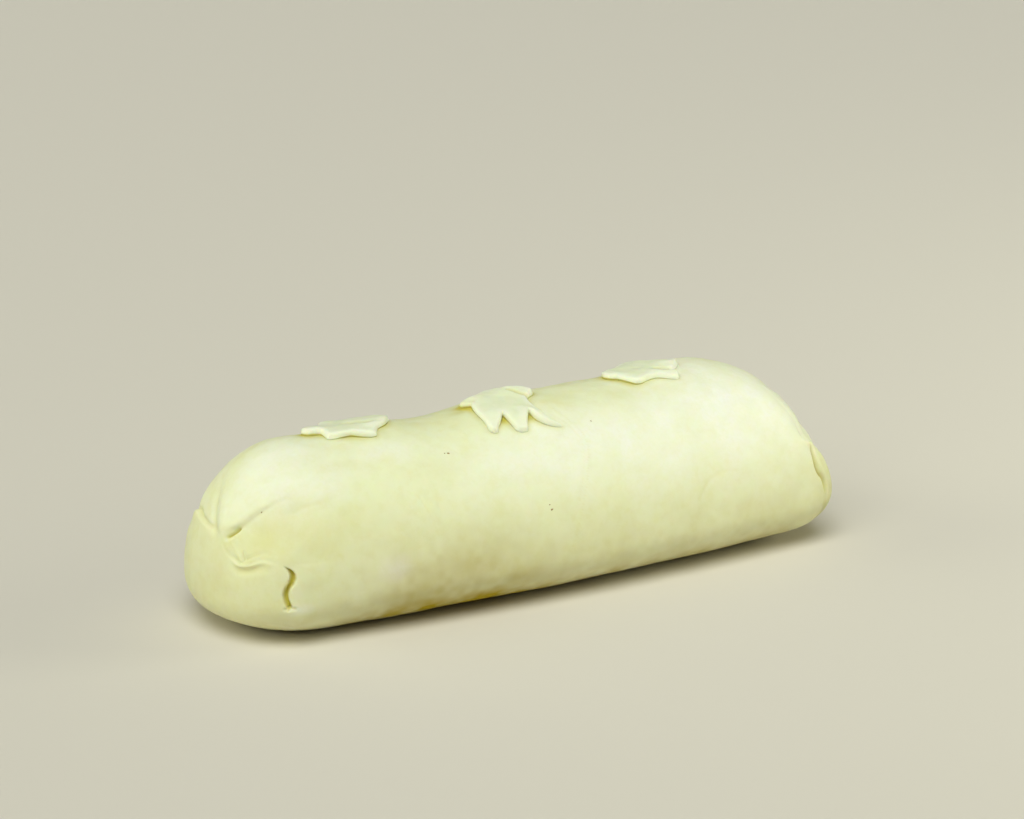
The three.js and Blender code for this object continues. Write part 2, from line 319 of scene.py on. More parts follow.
LEFT_END = LogEnd(
    side=Side.LEFT,
    crown=49.0,
    flank=33.3,
    foot=40.5,
    nose=-3.0,
    flap=Flap(
        top=(
            (-62, 40), (-45, 45), (-30, 49), (-25, 49.5), (-20, 48.4), (-12, 47.6), (-3, 46.9),
            (6, 46.6), (10, 45.8), (15, 42.6), (19, 40), (25, 37.8), (30, 36.6), (34, 36.7),
            (38, 37.3), (42, 38.4), (46, 39), (50, 38.6), (55, 37.8), (60, 37.6),
        ),
        front=(
            (0, 56), (12, 57.8), (20, 58.9), (22.4, 57.6), (25.7, 57.1), (28.2, 58.1), (30.7, 60.1),
            (33.9, 61), (36.1, 59.6), (38, 57),
        ),
        back_turn=-62.0,
        level=(
            (-70, 0.35), (-25, 0.4), (-8, 0.55), (2, 0.78), (9, 0.97), (20, 0.97), (30, 0.8),
            (44, 0.88), (54, 1),
        ),
        thin=0.75,
        bulge=(24, 0.3, 12),
        lip=((22, 0), (29, 0.5), (36, 0.8), (43, 0.55), (52, 0)),
        slit=(
            (18.6, 0), (20.3, 0.75), (24, 0.95), (28, 0.9), (33, 1), (35.2, 0.75), (36.6, 0.3),
            (37.4, 0),
        ),
        gape=2.9,
    ),
    creases=(
        # The pinch: a short slit, which the longest fold runs out of.
        Crease(
            ((5.2, -16, 45.6), (6.3, -17.8, 47.5), (7.6, -19.3, 49.6)),
            depths=(0.8, 0.7), widths=(1.4, 1.4), roll=0.2, crack=0.6, shade=0.5,
        ),
        Crease(
            (
                (23.2, -30.5, 61.9), (19, -28.2, 60), (15.4, -26.3, 57.6), (11.7, -23.5, 54.4),
                (9.2, -21.3, 51.4), (7.2, -18.8, 49),
            ),
            depths=(0.5, 1.3), widths=(1.5, 9), roll=0.4,
        ),
        Crease(
            ((44.1, -36.6, 62.1), (36.8, -37, 60.9), (29.4, -35.8, 59.8), (25.3, -35, 58.1)),
            depths=(0.3, 0.75), widths=(2.6, 6), roll=0.4,
        ),
        # Pleats between the slit and the rolled lip.
        Crease(
            ((4.4, -17.9, 44.5), (4.7, -21.4, 41.4), (5.2, -23.8, 39.5)),
            depths=(-0.3, -0.5), widths=(0.9, 0.9), roll=0,
        ),
        Crease(
            ((3, -15, 42.6), (3, -17.5, 40), (3.8, -21.1, 38.2), (5.1, -25, 36.6)),
            depths=(0.25, 0.5), widths=(0.7, 0.8), roll=0,
        ),
        Crease(
            ((6.1, -24.8, 41.2), (6.1, -26.3, 38.3)),
            depths=(0.5, 0.7), widths=(0.7, 0.8), roll=0.2, shade=0.35,
        ),
        Crease(
            ((6.8, -27.5, 38.9), (9.7, -31, 41.1), (11.9, -33.6, 42.2)),
            depths=(0.6, 0.2), widths=(0.9, 1.4), roll=0.2, shade=0.3,
        ),
        # A tick across the lower end of the flap's gap.
        Crease(
            ((16.2, -42.2, 19.5), (17.9, -43.3, 19.9), (19.6, -44.4, 19.8)),
            depths=(0.6, 0.5), widths=(0.7, 0.7), roll=0.1, shade=0.5,
        ),
        # Folds towards the crown and round the back.
        Crease(
            (
                (3.3, -7.6, 47.1), (4.4, -4.6, 51.1), (6.3, -1.4, 55.9), (9.3, 2.3, 61.1),
                (13.6, 7.9, 65.6),
            ),
            depths=(1.1, 0.3), widths=(2.8, 2.8), roll=0.4,
        ),
        Crease(((6.7, 20, 47), (10, 24, 55), (17, 28, 62)), depths=(1.6, 0.2), widths=(2.6, 6)),
        Crease(((11, 31, 45), (17, 35, 53), (27, 39, 59)), depths=(1.5, 0.2), widths=(2.6, 6)),
    ),
    swells=(
        Swell((24.5, -36, 52.5), 0.45, 4.5),
        Swell((15, -31.5, 47.5), -1.1, 8),
        Swell((12, -28.5, 50), -0.5, 4.5),
        Swell((20, -13, 68), 0.5, 14),
        Swell((24, -48, 14), 0.35, 6),
    ),
)

RIGHT_END = LogEnd(
    side=Side.RIGHT,
    crown=50.6,
    flank=14.6,
    foot=49.6,
    nose=3.1,
    flap=Flap(
        top=(
            (-60, 38), (-30, 41), (20, 41.5), (40, 42), (51, 43.5), (56, 45.5), (59, 47.8),
            (61, 49.8), (63, 50.6), (67, 50.8),
        ),
        front=(
            (0, 56), (12, 57.5), (20, 59), (25, 59.7), (29.7, 59.7), (32.7, 60.6), (34.8, 61.7),
            (38, 62.2), (42, 62.2), (46, 61.8), (50, 61.2),
        ),
        back_turn=-60.0,
        level=((-70, 0.35), (40, 0.35), (50, 0.8), (57.5, 0.8), (61, 0.3)),
        merged=(4, 32),
        thin=0.45,
        bulge=(27, 1.2, 11),
        lip=((57, 0), (61, 0.3), (63, 0.3)),
        slit=((24, 0), (28, 0.4), (33, 0.55), (37, 0.8), (42, 0.6), (46.5, 0.4), (48.5, 0)),
        gape=1.2,
        gap_shade=0.6,
    ),
    creases=(
        Crease(
            ((7, -12, 43), (10, -16, 52), (16, -20, 61), (27, -24, 70)),
            depths=(2.2, 0.2), widths=(2.6, 7), roll=0.8,
        ),
        Crease(((5, -2, 43), (8, 0, 53), (14, 3, 62)), depths=(2, 0.2), widths=(2.6, 6), roll=0.6),
        Crease(
            ((6, 10, 43), (10, 15, 52), (18, 22, 60)),
            depths=(2, 0.2), widths=(2.6, 6), roll=0.6,
        ),
        Crease(((7, -27, 43), (10, -33, 50), (15, -39, 56.5)), depths=(1.5, 0.2), widths=(2.2, 5)),
        Crease(((8, 30, 42), (14, 35, 49), (24, 40, 54)), depths=(1.6, 0.2), widths=(2.6, 6)),
    ),
    swells=(
        Swell((22, -14, 68), 0.5, 8),
        Swell((15.9, -46, 53.5), -1.2, 8),
        # The flap's upper corner sticks out as a small nub.
        Swell((12, -42, 51.5), -1.9, 6),
        Swell((10.5, -44.5, 45.5), -1.4, 5),
        Swell((15.3, -46.5, 51.8), -0.7, 3),
        Swell((17, -50, 48.6), 2, 2.5),
    ),
)


@dataclass(frozen=True)
class LogShape:
    """Smooth skin of the wrapped fillet, with no folds: a bowed, tapering, rounded log.

    Attributes:
        length: Tip to tip under the flaps.
        width: Across the belly at mid-length.
        height: Crown above the board.
        belly: Height of the widest line.
        pressed: How much of the round underside is pressed flat.
        bow: How far the middle bows to the front.
        taper: Share by which the right end is wider than the middle.
        fullness: Exponent of the ends' rounding.
        nose_length: Length over which the widest line climbs to an end's nose.
        dips: Soft dips in the crown as (x, depth, half-length).
        hinge: How far inside the tip the upright line of the turns stands.
        flap_reach: How far a flap may reach past that line.
        crown_flatness: Half-width and rise, added up, over the crown's radius.
        probe: Step over which the skin's slope is measured.
        ends: The left end and the right end.
    """

    length: float
    width: float = 96.9
    height: float = 81.5
    belly: float = 22.3
    pressed: float = 2.3
    bow: float = 10.0
    taper: float = 0.13
    fullness: float = 2.24
    nose_length: float = 40.0
    dips: tuple[Point, ...] = ((-92, 2.6, 22), (-42, 3.2, 19), (28, -0.3, 16), (112, 1.2, 14))
    hinge: float = 40.0
    flap_reach: float = 40.0
    crown_flatness: float = 2.15
    probe: float = 0.2
    ends: tuple[LogEnd, LogEnd] = (LEFT_END, RIGHT_END)

    def rounding(self, end: LogEnd, around: Array) -> Array:
        """Works out over what length an end rounds off.

        Args:
            end: The end.
            around: Angles round the log.

        Returns:
            The length at each angle.
        """
        up = np.clip(np.sin(around), 0.0, None) ** 2
        down = np.clip(-np.sin(around), 0.0, None) ** 2
        return end.crown * up + end.foot * down + end.flank * np.cos(around) ** 2

    def reach(self, x: Array, around: Array) -> Array:
        """Rounding length at each place, from whichever end is nearer."""
        left, right = (self.rounding(end, around) for end in self.ends)
        return np.where(x < 0, left, right)

    def section(self, x: Array) -> tuple[Array, Array, Array, Array, Array]:
        """The log's cross-section.

        Args:
            x: Stations along the log.

        Returns:
            Half-width, centre line, widest height, and reach above and below that height.
        """
        half = self.length / 2
        near_tip = np.clip(1.0 - (half - np.abs(x)) / self.nose_length, 0.0, None)
        nose = np.where(x < 0, self.ends[0].nose, self.ends[1].nose)
        belly = self.belly + nose * near_tip**2
        dips = sum(depth * bell(x - at, span) for at, depth, span in self.dips)
        along = x / half
        wide = self.width / 2 * (1.0 + self.taper * along)
        centre = self.bow * (along * along - 1.0 / 3.0)
        return wide, centre, belly, self.height - belly - dips, belly + self.pressed

    def skin(self, x: Array, around: Array) -> Array:
        """Works out places on the skin.

        Args:
            x: Stations along the log.
            around: Angles round it.

        Returns:
            The places.
        """
        reach = self.reach(x, around)
        past = np.clip((np.abs(x) - (self.length / 2 - reach)) / reach, 0.0, 1.0)
        girth = (1.0 - past**self.fullness) ** (1.0 / self.fullness)
        wide, centre, belly, above, below = self.section(x)
        rise = np.where(np.sin(around) > 0, above, below)
        y = centre + girth * np.cos(around) * wide
        z = belly + girth * np.sin(around) * rise
        return np.stack([x, y, z], axis=-1)

    def depth(self, at: Array) -> Array:
        """Tells how far out places lie.

        Args:
            at: The places.

        Returns:
            1 for a place on the skin, less inside it and more outside.
        """
        wide, centre, belly, above, below = self.section(at[:, 0])
        across = (at[:, 1] - centre) / wide
        up = (at[:, 2] - belly) / np.where(at[:, 2] > belly, above, below)
        reach = self.reach(at[:, 0], np.arctan2(up, across))
        past = np.clip(np.abs(at[:, 0]) - (self.length / 2 - reach), 0.0, None) / reach
        return (np.hypot(across, up) ** self.fullness + past**self.fullness) ** (1 / self.fullness)

    def outward(self, at: Array) -> Array:
        """Finds the direction straight out of the skin.

        Args:
            at: Places on the skin.

        Returns:
            Unit directions.
        """
        steps = self.probe * np.eye(3)
        slopes = [self.depth(at + step) - self.depth(at - step) for step in steps]
        out = np.stack(slopes, axis=-1)
        return out / np.linalg.norm(out, axis=-1, keepdims=True)

    def middle_across(self) -> float:
        """Finds the middle of the log's whole reach across.

        Returns:
            Its Y in the log's own place.
        """
        along = np.linspace(-self.length / 2, self.length / 2, 800)
        back = self.skin(along, np.zeros_like(along))[:, 1]
        front = self.skin(along, np.full_like(along, math.pi))[:, 1]
        return float((back.max() + front.min()) / 2)

    def crown_place(self, x: Array, over: Array) -> Array:
        """Finds places on the crown.

        Args:
            x: Stations along the log.
            over: Distances over the crown from its ridge towards the front.

        Returns:
            The places.
        """
        wide, _, belly, _, _ = self.section(x)
        radius = (wide + self.height - belly) / self.crown_flatness
        return self.skin(x, math.pi / 2 + over / radius)

    def end_places(self, end: LogEnd, given: Sequence[Point]) -> Array:
        """Puts places that are measured from an end into the log's own place.

        Args:
            end: The end.
            given: Each as in from the tip, across from the middle, up from the board.

        Returns:
            The places, one row each.
        """
        sign = end.side.value
        tip = self.length / 2
        middle = self.section(np.array([tip]))[1][0]
        return np.array([(sign * (tip - inwards), middle + aside, up) for inwards, aside, up in given])

    def near(self, end: LogEnd, at: Array) -> Array:
        """True for each place that an end's flap could reach."""
        return at[:, 0] * end.side.value > self.length / 2 - self.hinge - self.flap_reach


# Marks all along the sheet.
SHEET_MARKS = (
    # The edge of a lap in the sheet, rolled almost flat.
    Crease(
        ((10.9, 108.7), (15.6, 122.1), (16.8, 134.7), (7.7, 157.5), (-1.3, 179.1)),
        depths=(-0.16, -0.1), widths=(0.8, 0.8), roll=0,
    ),
    Crease(
        ((8.6, 112), (13.6, 123), (14.7, 134.7), (5.7, 157)),
        depths=(0.12, 0.08), widths=(0.9, 0.9), roll=0, shade=0.1,
    ),
    # Small wrinkles, where a hand tightened the sheet.
    Crease(
        ((66, 167), (72, 160.5), (80, 157.5), (89, 158)),
        depths=(0.25, 0.1), widths=(1.4, 1.4), roll=0.1, shade=0.15,
    ),
    Crease(
        ((-68, 142), (-64.5, 152), (-63, 160)),
        depths=(0.25, 0.1), widths=(0.9, 0.9), roll=0.15, shade=0.15,
    ),
    *(
        Crease(via, depths=(0.2, 0.1), widths=(0.8, 0.8), roll=0.15, shade=0.12)
        for via in (
            ((-73, 146), (-69, 154.5)),
            ((-60.5, 146), (-59.5, 153)),
            ((-79, 155), (-75, 161)),
        )
    ),
    # Two wider ones on the back.
    *(
        Crease(via, depths=(0.3, 0.1), widths=(1.4, 3), roll=0.2, shade=0.1)
        for via in (
            ((-40, 47), (-30, 42), (-22, 30)),
            ((52, 28), (60, 36), (72, 39)),
        )
    ),
)


# ---------------------------------------------------------------- how the leaves were cut


@dataclass(frozen=True)
class LeafFold:
    """Soft ridge pressed up in a leaf, or a crease where its height is negative.

    Attributes:
        via: Points it runs through, as (along, towards the front) in the leaf's own place.
        height: How high it stands.
        width: Its half-width.
    """

    via: tuple[Pair, ...]
    height: float
    width: float


@dataclass(frozen=True)
class LeafCut:
    """Where a leaf lies and how it was cut.

    Attributes:
        node: The leaf's solid.
        x: Where its middle lies along the log.
        over: How far its middle lies over the crown towards the front.
        edge: Its tips and notches as (along, towards the front, standing off the crown).
        folds: Ridges and creases pressed into it.
        spacing: Distance between points on its edge.
        softening: How often the edge is evened out, which rounds its corners.
        shade_width: Width of the shade beside the edge, and how it grows where the edge stands off.
        shade_depth: Depth of that shade, and how it grows.
        shade_reach: How far from the leaf the shade is worked out.
    """

    node: str
    x: float
    over: float
    edge: tuple[Point, ...]
    folds: tuple[LeafFold, ...]
    spacing: ClassVar[float] = 0.5
    softening: ClassVar[int] = 4
    shade_width: ClassVar[Pair] = (1.1, 2.2)
    shade_depth: ClassVar[Pair] = (0.1, 0.8)
    shade_reach: ClassVar[float] = 8.0

    def outline(self) -> Array:
        """Works out the cut edge.

        Returns:
            Closely spaced points round it, as (along, towards the front, standing off).
        """
        corners = np.array(self.edge + self.edge[:1], dtype=float)
        sides = np.linalg.norm(np.diff(corners[:, :2], axis=0), axis=1)
        run = np.concatenate([[0.0], np.cumsum(sides)])
        count = round(run[-1] / self.spacing)
        at = np.arange(count) * run[-1] / count
        line = np.stack([np.interp(at, run, corners[:, axis]) for axis in range(3)], axis=1)
        for _ in range(self.softening):
            line = (np.roll(line, 1, axis=0) + 2.0 * line + np.roll(line, -1, axis=0)) / 4.0
        return line

    def shade_beside(self, shape: LogShape, at: Array) -> Array:
        """Works out the shade that the leaf's edge gives to the dough beside it.

        Args:
            shape: The smooth log that it lies on.
            at: Places on the log's skin.

        Returns:
            Shade at each place, from 0 to 1, deepest in notches and where the edge stands off.
        """
        edge = self.outline()
        line = shape.crown_place(self.x + edge[:, 0], self.over + edge[:, 1])
        narrowest, wider = self.shade_width
        faintest, deeper = self.shade_depth
        width = narrowest + wider * edge[:, 2]
        amount = (faintest + deeper * edge[:, 2]) * self.spacing / (width * math.sqrt(math.pi))
        low = line.min(axis=0) - self.shade_reach
        high = line.max(axis=0) + self.shade_reach
        close = np.nonzero(((at > low) & (at < high)).all(axis=1))[0]
        shade = np.zeros(len(at))
        apart = np.linalg.norm(at[close][:, None] - line[None], axis=2)
        shade[close] = (amount * bell(apart, width)).sum(axis=1)
        return np.clip(shade, 0.0, 1.0)


LEAF_CUTS = (
    LeafCut(
        "leaf_left",
        x=-83,
        over=-4,
        edge=(
            (25, -1.8, 0), (21.6, 3.8, 0.4), (17.9, 7.9, 0.6), (14.9, 9.7, 0.5), (12.9, 10.9, 0.4),
            (11, 14, 0.3), (9.9, 16.6, 0.3), (7.1, 16.4, 0.3), (3.3, 14.3, 0.5), (0.2, 12, 0.9),
            (-2.4, 11.7, 0.6), (-5.4, 11.3, 0.3), (-7.8, 11.6, 0.2), (-10.2, 11, 0.1),
            (-10.2, 7.7, 0.3), (-10.3, 4.5, 0.6), (-12.3, 3.5, 0.9), (-15.9, 3.2, 0.9),
            (-17.4, 0.3, 0.8), (-16.2, -3, 0.7), (-12, -6.5, 0.5), (-5.5, -8.8, 0.7),
            (-1.8, -15.5, 2.4), (3, -15, 1.8), (8, -17, 1.6), (10, -11, 0.8), (14, -6, 0.2),
            (20, -5, 0.2),
        ),
        folds=(
            LeafFold(((2.5, 0.4), (6.3, 3.9), (10.4, 6), (14.7, 6)), -0.35, 1.5),
            LeafFold(((10, 9.6), (14.1, 8), (19, 4)), 0.35, 2.2),
            LeafFold(((-14.9, 0.3), (-11.9, 1.2), (-8.5, 3)), 0.4, 2.2),
            LeafFold(((-9.2, 9.6), (-6, 9.8)), 0.3, 2),
            LeafFold(((2.5, 12.4), (7.5, 14.6)), 0.3, 1.6),
        ),
    ),
    LeafCut(
        "leaf_middle",
        x=-9,
        over=6,
        edge=(
            (12.9, -0.8, 0.4), (12.2, 3.5, 0.2), (12.3, 7.4, 0.1), (12.9, 10.8, 0.1),
            (13.5, 14.2, 0.1), (14.9, 16.6, 0.1), (16.6, 18.8, 0.1), (18.8, 20.9, 0.1),
            (18.4, 21.9, 0.1), (13.4, 20.1, 0.2), (11.4, 18.6, 0.3), (9.8, 17, 0.35),
            (8.3, 14.9, 0.5), (7.4, 10.2, 0.9), (4.7, 14.2, 0.4), (3.5, 16.8, 0.2),
            (2.2, 20.4, 0.1), (-1.3, 20.4, 0.1), (-3.3, 18.8, 0.2), (-3.7, 15.8, 0.3),
            (-4.2, 13, 0.5), (-4.6, 8.2, 1), (-7.8, 12.6, 0.5), (-10.2, 15.2, 0.2),
            (-11.5, 17.7, 0.1), (-13.6, 17.5, 0.1), (-14.9, 15.4, 0.1), (-14.5, 10.8, 0.3),
            (-14.5, 6.6, 0.3), (-14.5, 2.2, 0.4), (-13.6, -2.2, 0.6), (-12.2, -5.9, 0.9),
            (-16.4, -9.2, 1.1), (-13.2, -10.8, 1.5), (-8, -11.7, 1.5), (1, -18.4, 1.3),
            (8, -12.6, 2.1), (13.7, -11.2, 1.4), (17, -8.8, 1), (19.3, -6.4, 0.5), (18.2, -4, 0.4),
        ),
        folds=(
            LeafFold(((8.2, -9), (10.2, -5.9), (12, -3.3), (13.2, -1.4)), -0.8, 1.1),
            LeafFold(((10, -11.5), (13.9, -9), (17, -6)), 0.4, 2.2),
            LeafFold(((-16, -10), (-13.5, -8.5), (-11.5, -6.5)), -0.45, 1.8),
            LeafFold(((-12.6, 15), (-10.9, 10.6), (-9.5, 6)), 0.25, 2.6),
            LeafFold(((0, 18.6), (2, 14.5), (5.2, 9)), 0.3, 2.2),
        ),
    ),
    LeafCut(
        "leaf_right",
        x=67,
        over=-3,
        edge=(
            (23, 1.6, 0.1), (21.4, 5.2, 0.1), (18.2, 8, 0.1), (15.2, 9.6, 0.1), (12.6, 10.1, 0.2),
            (14, 11.8, 0.1), (15.2, 14.2, 0.1), (13.6, 17.2, 0.1), (12.2, 17.5, 0.1),
            (9.3, 16.3, 0.15), (6.4, 14.6, 0.3), (3.5, 12.9, 0.3), (0.2, 13, 0.3), (-3, 13.7, 0.3),
            (-6, 14.6, 0.4), (-8.6, 13.9, 0.6), (-10.3, 11.7, 0.8), (-11.7, 8.9, 0.8),
            (-13, 5.2, 0.7), (-15.9, 3.6, 0.8), (-17.2, 0, 0.8), (-15.8, -4, 0.7),
            (-9.4, -8.6, 0.5), (-4, -11.5, 0.4), (3, -17, 1.1), (8.5, -16, 1.1), (11, -7, 0.4),
            (17, -2.5, 0.1),
        ),
        folds=(
            LeafFold(((6.3, 7.1), (9.9, 9.1), (12.8, 10.4)), -0.5, 1.3),
            LeafFold(((14, 3.2), (17, 4.6), (20.5, 3.6)), 0.45, 2.2),
            LeafFold(((-6.2, 12.8), (-1.7, 11.4), (2.9, 9.8), (8, 12.2), (13, 14)), 0.45, 2),
            LeafFold(((-14, -1.9), (-12.4, 1.8), (-10, 6.1)), 0.3, 2.2),
            LeafFold(((-0.7, 1.3), (1.6, 2.8)), -0.2, 0.9),
        ),
    ),
)


# ---------------------------------------------------------------- relief of the dough


@dataclass
class Relief:
    """How far the dough stands off the smooth skin, and the shade painted into its folds.

    Attributes:
        shape: The smooth log.
        standing: How far a flap stands off the log: its sheet, pressed on a little.
        waves: The hand-rolled dough's unevenness, slow to fine, as (height, size, seed).
        foot: Heights between which a flap comes to stand out by its whole thickness.
        corner: Rounding where a flap's upper edge meets its front edge.
        back_corner: Rounding where they meet its back edge.
        slant_reach: Distance from an edge within which the edge's slope is allowed for.
        edge_round: Rounding of a flap's free edge.
        thinning: Distance over which a flap thins towards its edge.
        beside: How far out the dough beside an edge is raised.
        bulge_start: Distance inside the edge at which the sag is full.
        lip_roll: How far inside the edge its rolled lip lies, and the lip's half-width.
        lip_hollow: The same for the hollow below the lip.
        lip_hollow_share: Depth of that hollow, over the lip's height.
        seam_heights: Heights between which the fine groove along an edge appears.
        seam: Depth of the groove where the dough beside it is level, and how much more elsewhere.
        seam_place: How far outside the edge the groove lies, and its half-width.
        seam_shade: How deep the shade painted in the groove is.
        lip_shade: How deep the shade painted in the hollow below the lip is.
        slit_open: Half-width from which the gap along the front edge is as deep as it gets.
        slit_turn: Distance over which that gap gives way to the groove along the upper edge.
        slit_least: Added to the gap's half-width, so that it is never nothing.
        crease_end: How many of its widths away a crease has died out.
        crease_roll: How far beside a crease its roll lies, and the roll's half-width, in widths.
        crease_bottom: Half-width of the shade painted in a crease's bottom, in widths.
        crack_depth: Depth of a crease's slit.
        crack_shade: How deep the shade painted in that slit is.
        crease_points: Points that a crease's line is drawn with.
        mark_points: Points that the line of a mark along the sheet is drawn with.
        marks: Marks along the sheet.
    """

    shape: LogShape
    standing: ClassVar[float] = 2.7
    waves: tuple[Wave, ...] = ((0.55, 46.0, 11), (0.26, 13.0, 23), (0.08, 4.5, 31))
    foot: Pair = (3.0, 14.0)
    corner: float = 1.6
    back_corner: float = 5.0
    slant_reach: float = 8.0
    edge_round: float = 1.5
    thinning: float = 9.0
    beside: float = 15.0
    bulge_start: float = 6.0
    lip_roll: Pair = (0.9, 0.8)
    lip_hollow: Pair = (3.0, 1.5)
    lip_hollow_share: float = 0.8
    seam_heights: Pair = (24.0, 34.0)
    seam: Pair = (0.05, 0.9)
    seam_place: Pair = (0.5, 0.8)
    seam_shade: float = 0.5
    lip_shade: float = 0.3
    slit_open: float = 0.6
    slit_turn: float = 1.5
    slit_least: float = 0.05
    crease_end: float = 3.2
    crease_roll: Pair = (1.9, 1.5)
    crease_bottom: float = 0.5
    crack_depth: float = 1.1
    crack_shade: float = 0.75
    crease_points: int = 48
    mark_points: int = 60
    marks: tuple[Crease, ...] = SHEET_MARKS

    def unevenness(self, at: Array) -> Array:
        """Slow swell of rolled dough over a joint of meat."""
        return ripples(at, self.waves)

    def turns(self, end: LogEnd, at: Array) -> tuple[Array, Array]:
        """Measures places from an end's upright line.

        Args:
            end: The end.
            at: The places.

        Returns:
            Turn of each place round the line, in degrees, and its distance from it.
        """
        sign = end.side.value
        hinge_x = sign * (self.shape.length / 2 - self.shape.hinge)
        hinge_y = self.shape.section(np.array([hinge_x]))[1][0]
        out = sign * (at[:, 0] - hinge_x)
        forward = -(at[:, 1] - hinge_y)
        return np.degrees(np.arctan2(forward, out)), np.hypot(out, forward)

    def flap_inset(self, end: LogEnd, at: Array) -> tuple[Array, Array, Array]:
        """How far inside a flap's free edges each place lies.

        Args:
            end: The end that the flap closes.
            at: Places on the skin.

        Returns:
            Distance inside all its edges, negative outside them, then inside the upper edge alone
            and inside the front edge alone.
        """
        flap = end.flap
        turn, far = self.turns(end, at)
        height = at[:, 2]
        per_degree = far * math.pi / 180.0
        from_top = along_table(turn, flap.top) - height
        slope = table_slope(turn, flap.top) / per_degree
        from_top = from_top / np.hypot(1.0, slope * bell(from_top, self.slant_reach))
        from_front = (along_table(height, flap.front) - turn) * per_degree
        slope = table_slope(height, flap.front) * per_degree
        from_front = from_front / np.hypot(1.0, slope * bell(from_front, self.slant_reach))
        from_back = (turn - flap.back_turn) * per_degree
        inset = soft_least(from_top, from_front, self.corner)
        return soft_least(inset, from_back, self.back_corner), from_top, from_front

    def flap_sheet(self, flap: Flap, height: Array, inset: Array, level: Array) -> Array:
        """How far the thickness of a flap lifts the dough, on it and beside it.

        Args:
            flap: The flap.
            height: Heights of the places.
            inset: How far they lie inside its edges.
            level: Share of its thickness by which the dough beside the edge stands up too.

        Returns:
            Lift of each place.
        """
        sheet = self.standing * smooth(height, *self.foot)
        deep = np.clip(inset, 0.0, None)
        thick = sheet * (1.0 - (1.0 - flap.thin) * (1.0 - level) * bell(deep, self.thinning))
        beside = level * thick * bell(np.clip(-inset, 0.0, None), self.beside)
        lift = beside + (thick - level * thick) * rounded(inset / self.edge_round)
        middle, amount, reach = flap.bulge
        return lift + amount * bell(height - middle, reach) * smooth(inset, 0.0, self.bulge_start)

    def flap_relief(self, end: LogEnd, at: Array) -> tuple[Array, Array]:
        """How far a flap lifts the dough.

        Args:
            end: The end that the flap closes.
            at: Places on the skin.

        Returns:
            Lift of each place, and the shade painted along the flap's edge: in the gap, the groove and
            under the lip.
        """
        flap = end.flap
        height = at[:, 2]
        turn, _ = self.turns(end, at)
        inset, from_top, from_front = self.flap_inset(end, at)
        level = np.maximum(along_table(turn, flap.level), 1.0 - smooth(height, *flap.merged))
        lift = self.flap_sheet(flap, height, inset, level)

        # A rolled lip along the free edge, with a hollow below it.
        lip_inset, lip_width = self.lip_roll
        under_inset, under_width = self.lip_hollow
        roll = along_table(turn, flap.lip)
        under = bell(inset - under_inset, under_width)
        lift = lift + roll * (bell(inset - lip_inset, lip_width) - self.lip_hollow_share * under)

        # The gap along the front edge is a slit with steep sides.
        half = along_table(height, flap.slit)
        at_front = smooth(from_top - from_front, -self.slit_turn, self.slit_turn)
        opening = np.clip(half / self.slit_open, 0.0, 1.0) * at_front
        groove = opening * np.exp(-(np.abs((inset + half) / (half + self.slit_least)) ** 3))
        # Elsewhere a fine groove runs just outside the edge.
        level_seam, more_seam = self.seam
        seam_outset, seam_width = self.seam_place
        seam = (1.0 - opening) * smooth(height, *self.seam_heights)
        seam = seam * (level_seam + more_seam * (1.0 - level))
        seam = seam * bell(inset + seam_outset, seam_width)

        lift = lift - flap.gape * groove - seam
        # Shade is painted into the gap, the groove and the hollow under the lip.
        painted_shade = flap.gap_shade * groove + self.seam_shade * seam + self.lip_shade * roll * under
        near = self.shape.near(end, at)
        return np.where(near, lift, 0.0), np.where(near, painted_shade, 0.0)

    def pressed(
        self, crease: Crease, line: Array, hand: int, at: Array, out: Array
    ) -> tuple[Array, Array]:
        """How far one crease presses the dough in.

        Args:
            crease: The crease.
            line: Closely spaced points that it runs through.
            hand: 1 or -1, which picks the side of the line that counts as its right.
            at: Places on the skin.
            out: Outward directions there.

        Returns:
            Lift of each place, and the shade painted into the crease.
        """
        lift = np.zeros(len(at))
        painted_shade = np.zeros(len(at))
        right, left = crease.widths
        centre = line.mean(axis=0)
        radius = np.linalg.norm(line - centre, axis=1).max() + self.crease_end * max(right, left)
        close = np.nonzero(np.linalg.norm(at - centre, axis=1) < radius)[0]
        if not len(close):
            return lift, painted_shade
        here = at[close]
        nearest = np.linalg.norm(here[:, None] - line[None], axis=2).argmin(axis=1)
        along = np.gradient(line, axis=0)
        along /= np.linalg.norm(along, axis=1, keepdims=True)
        # Only the way over the skin counts, not how far the line stands off it.
        away = here - line[nearest]
        away -= (away * out[close]).sum(axis=1)[:, None] * out[close]
        distance = np.linalg.norm(away, axis=1)
        aside = hand * (away * np.cross(along[nearest], out[close])).sum(axis=1)
        depth = np.interp(nearest, [0, len(line) - 1], crease.depths)
        share = depth / max(crease.depths, key=abs)
        # Beyond the line's ends the two sides' widths run smoothly into each other.
        lean = aside / np.maximum(distance, 1e-6)
        press = depth * bell(distance, (right + left) / 2 + (right - left) / 2 * lean)
        # The dough pressed out of it rolls up to its right.
        roll_aside, roll_width = self.crease_roll
        roll = crease.roll * share * bell(aside - roll_aside * right, roll_width * right)
        roll = roll * bell(np.clip(distance - np.abs(aside), 0.0, None), right)
        lift[close] = roll - press
        # Shade is painted along the crease's bottom, and deeper in its slit.
        bottom = bell(distance, self.crease_bottom * right)
        painted_shade[close] = crease.shade * np.clip(share, 0.0, 1.0) * bottom
        if crease.crack:
            slit = bell(distance, crease.crack)
            lift[close] -= self.crack_depth * slit
            painted_shade[close] = np.maximum(painted_shade[close], self.crack_shade * slit)
        return lift, painted_shade

